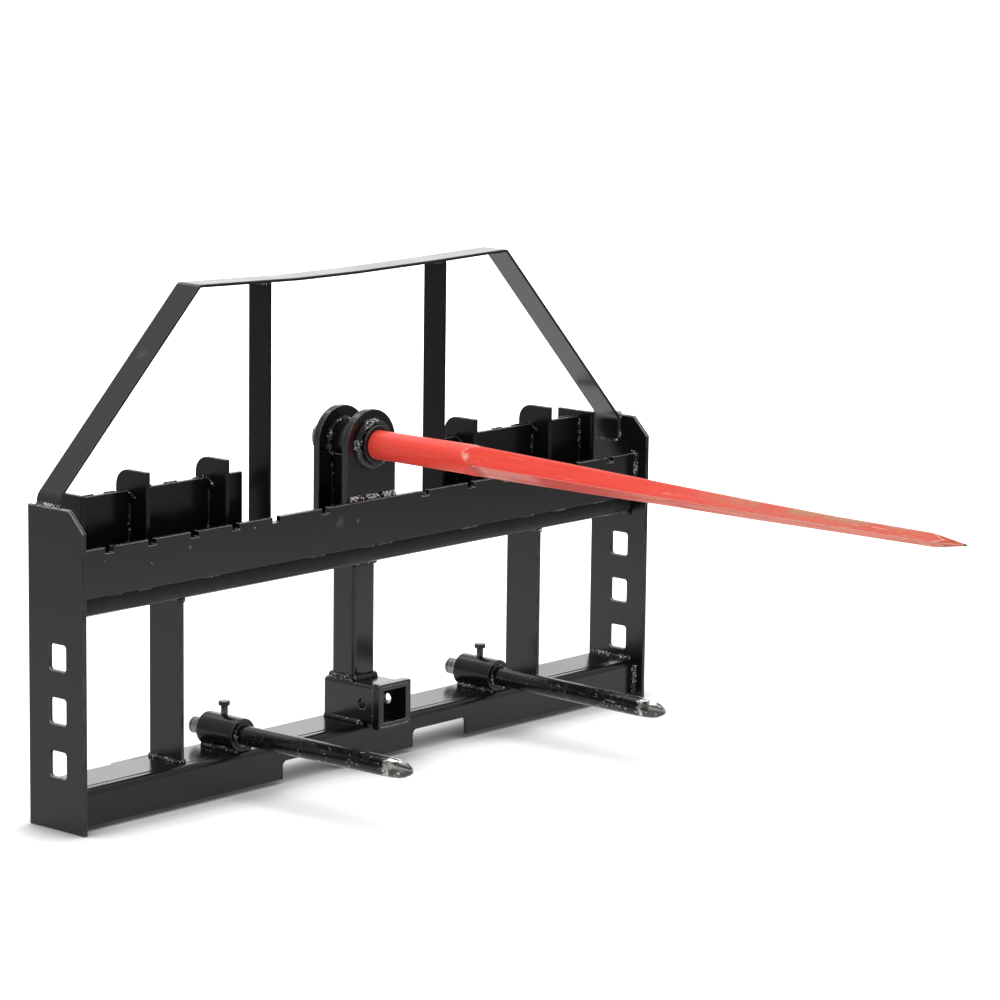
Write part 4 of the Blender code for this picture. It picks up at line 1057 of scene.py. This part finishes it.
def thread(name, base, axis, radius, turns, material, slot):
    """A helical ridge round an axis, from its base upwards or along +Y."""
    start_clean()
    bpy.ops.mesh.primitive_circle_add(vertices=3, radius=THREAD_PITCH * THREAD_SHARE,
                                      location=(radius, 0, 0), rotation=(math.pi / 2, 0, 0))
    ridge = settle(bpy.context.active_object)
    bpy.ops.object.mode_set(mode="EDIT")
    bpy.ops.mesh.select_all(action="SELECT")
    bpy.ops.transform.rotate(value=math.pi / 2, orient_axis="Y",
                             center_override=(radius, 0, 0))
    bpy.ops.object.mode_set(mode="OBJECT")
    modifier = ridge.modifiers.new("helix", "SCREW")
    modifier.screw_offset = THREAD_PITCH
    modifier.iterations = turns
    modifier.steps = THREAD_STEPS
    modifier.render_steps = THREAD_STEPS
    bpy.ops.object.modifier_apply(modifier=modifier.name)
    bpy.ops.object.mode_set(mode="EDIT")
    bpy.ops.mesh.select_all(action="SELECT")
    bpy.ops.mesh.remove_doubles(threshold=MERGE / 2)
    bpy.ops.mesh.fill_holes(sides=4)
    bpy.ops.object.mode_set(mode="OBJECT")
    turn = Matrix.Rotation(-math.pi / 2, 4, "X") if axis == "Y" else Matrix.Identity(4)
    ridge.matrix_world = Matrix.Translation(base) @ turn
    ridge = joined([ridge], name)
    finish_piece(ridge, material)
    bpy.ops.object.shade_smooth_by_angle(angle=SMOOTH_ANGLE)


nut_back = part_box("spear_nut")[1].y
spear_base = (socket_centre.x, nut_back + 0.4 * MM, socket_centre.z)
thread("spear_thread", spear_base, "Y", SPEAR_THREAD_RADIUS, 2, nut_steel, "bright_steel")
for side in ("left", "right"):
    low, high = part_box(side + "_set_bolt")
    sleeve_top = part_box(side + "_stabiliser_sleeve")[1].z
    bolt_base = ((low.x + high.x) / 2, (low.y + high.y) / 2, sleeve_top + 1 * MM)
    thread(side + "_bolt_thread", bolt_base, "Z", BOLT_THREAD_RADIUS, 8, coats["sleeve"],
           "black_paint")

# %% [markdown]
# ## The lamps
# Black paint shows what it mirrors, so the lamps are large: a soft square one
# overhead, and a wide panel behind on the right, which the level tops mirror.

# %% Lamps
LAMP_PLACE = (0.9, 1.6, 4.4)
LAMP_TARGET = (0, 0.4, 0)
LAMP_SIZE = (4.2, 4.2)
LAMP_POWER = 95.0
PANEL_PLACE = (5.7, 6.2, 2.4)
PANEL_TARGET = (0, 0.4, 1.0)
PANEL_SIZE = (7.0, 2.6)
PANEL_RADIANCE = 1.15


def area_lamp(name, place, target, size, power):
    """A rectangular lamp at a place, aimed at a target."""
    data = bpy.data.lights.new(name, "AREA")
    data.shape = "RECTANGLE"
    data.size, data.size_y = size
    data.energy = power
    lamp = bpy.data.objects.new(name, data)
    bpy.context.scene.collection.objects.link(lamp)
    lamp.location = place
    lamp.rotation_euler = (Vector(target) - Vector(place)).to_track_quat("-Z", "Y").to_euler()


area_lamp("overhead_softbox", LAMP_PLACE, LAMP_TARGET, LAMP_SIZE, LAMP_POWER)
area_lamp("back_panel", PANEL_PLACE, PANEL_TARGET, PANEL_SIZE,
          PANEL_RADIANCE * math.pi * PANEL_SIZE[0] * PANEL_SIZE[1])
print("lamps:", len(bpy.data.lights))

# %% [markdown]
# ## The floor
# A pale floor keeps the frame's soft shadow, and an Ambient Occlusion node paints it
# darker still, as painted shade, close around the frame. A little emission that only
# the camera and mirror rays see lifts it to white further out. In mirrors it is dimmer
# to the left, to the front right and all round at a distance, which gives the upright
# black faces their different tones.

# %% Floor
FLOOR_SIZE = 70.0
FLOOR_DROP = 0.3 * MM
FLOOR_MIDDLE = (0, 0.47, 0)     # under the frame
FLOOR_PAINT = 0.83              # in the light that it throws back
FLOOR_WHITE = 1.0               # as the camera sees it
# painted shade on the floor near the frame, from an Ambient Occlusion node
FLOOR_CREVICE = 0.09            # reach of the darkening where the frame stands
FLOOR_GLOW = 0.24               # what the camera sees besides the light near the frame
FLOOR_NEAR = 1.0                # the glow grows to white between these distances
FLOOR_FAR = 3.2
MIRROR_GLOW = 0.28
DIM_FRONT = 0.9                 # what mirrors lose of the floor in the front right,
DIM_AROUND = 0.42               # at a distance all round,
DIM_LEFT = 0.3                  # and on the left
AHEAD = (0.75, 0.66)            # X and Y of the way from front left to back right


def studio_floor():
    """The floor's plane and its finish, which camera and mirror rays see brighter."""
    start_clean()
    bpy.ops.mesh.primitive_plane_add(size=FLOOR_SIZE, location=(0, 0, -FLOOR_DROP))
    floor = bpy.context.active_object
    floor.name = "studio_floor"
    material = bpy.data.materials.new("studio_floor")
    material.use_nodes = True
    tree = material.node_tree
    tree.nodes.clear()
    seen = Wire(tree).node("ShaderNodeLightPath", output="Is Camera Ray")
    mirror = Wire(tree).node("ShaderNodeLightPath", output="Is Glossy Ray")
    spot = Wire(tree).node("ShaderNodeTexCoord", output="Object")
    reach = spot.away(FLOOR_MIDDLE)
    across = spot.part("X")
    left = (across * -1.0).rise(-0.2, 1.0) * DIM_LEFT
    front = (across * AHEAD[0] - spot.part("Y") * AHEAD[1]).rise(-0.6, 3.6) * DIM_FRONT
    dim = front.most(reach.rise(0.7, 2.4) * DIM_AROUND).most(left) * mirror
    # painted shade: the floor is painted darker where the frame stands close above it
    open_sky = seen.node("ShaderNodeAmbientOcclusion", {"Distance": FLOOR_CREVICE},
                         output="AO", samples=8)
    direct = open_sky.mix(grey(0.0), grey(FLOOR_WHITE))
    bounced = dim.mix(grey(FLOOR_PAINT), grey(0.0))
    paint = seen.node("ShaderNodeBsdfDiffuse", {"Color": seen.mix(bounced, direct)})
    near_glow = (open_sky * open_sky).mix(grey(0.0), grey(FLOOR_GLOW))
    shown = reach.rise(FLOOR_NEAR, FLOOR_FAR).mix(near_glow, grey(1.0))
    mirrored = (mirror * (1 - dim)).mix(grey(0.0), grey(MIRROR_GLOW))
    glow = seen.node("ShaderNodeEmission", {"Color": seen.mix(mirrored, shown)})
    both = seen.node("ShaderNodeAddShader", {0: paint, 1: glow})
    surface = tree.nodes.new("ShaderNodeOutputMaterial")
    tree.links.new(both.socket, surface.inputs["Surface"])
    floor.data.materials.append(material)


studio_floor()
print("floor", FLOOR_SIZE, "m wide")

# %% [markdown]
# ## The room
# The world is a plain white room. It lights the object evenly, while mirror rays see
# it bright behind the frame and dimmer in front, as in a studio lit from the back.

# %% World
WORLD_SEEN = 0.9                # in mirrors, behind the frame
WORLD_FRONT = 0.4               # and in front of it
WORLD_LIGHT = 0.95

world = bpy.data.worlds.new("studio_world")
world.use_nodes = True
bpy.context.scene.world = world
start = Wire(world.node_tree)
seen = start.node("ShaderNodeLightPath", output="Is Camera Ray")
for name in ("Is Glossy Ray", "Is Transmission Ray"):
    seen = seen.most(start.node("ShaderNodeLightPath", output=name))
ray = start.node("ShaderNodeTexCoord", output="Generated")
behind = (ray.part("X") * AHEAD[0] + ray.part("Y") * AHEAD[1]).rise(-0.5, 0.5)
mirrored = WORLD_FRONT + behind * (WORLD_SEEN - WORLD_FRONT)
strength = WORLD_LIGHT + seen * (mirrored - WORLD_LIGHT)
background = world.node_tree.nodes["Background"]
background.inputs["Color"].default_value = grey(1.0)
feed(background, Strength=strength)
bpy.context.scene.view_settings.view_transform = "Standard"
print("stage ready")
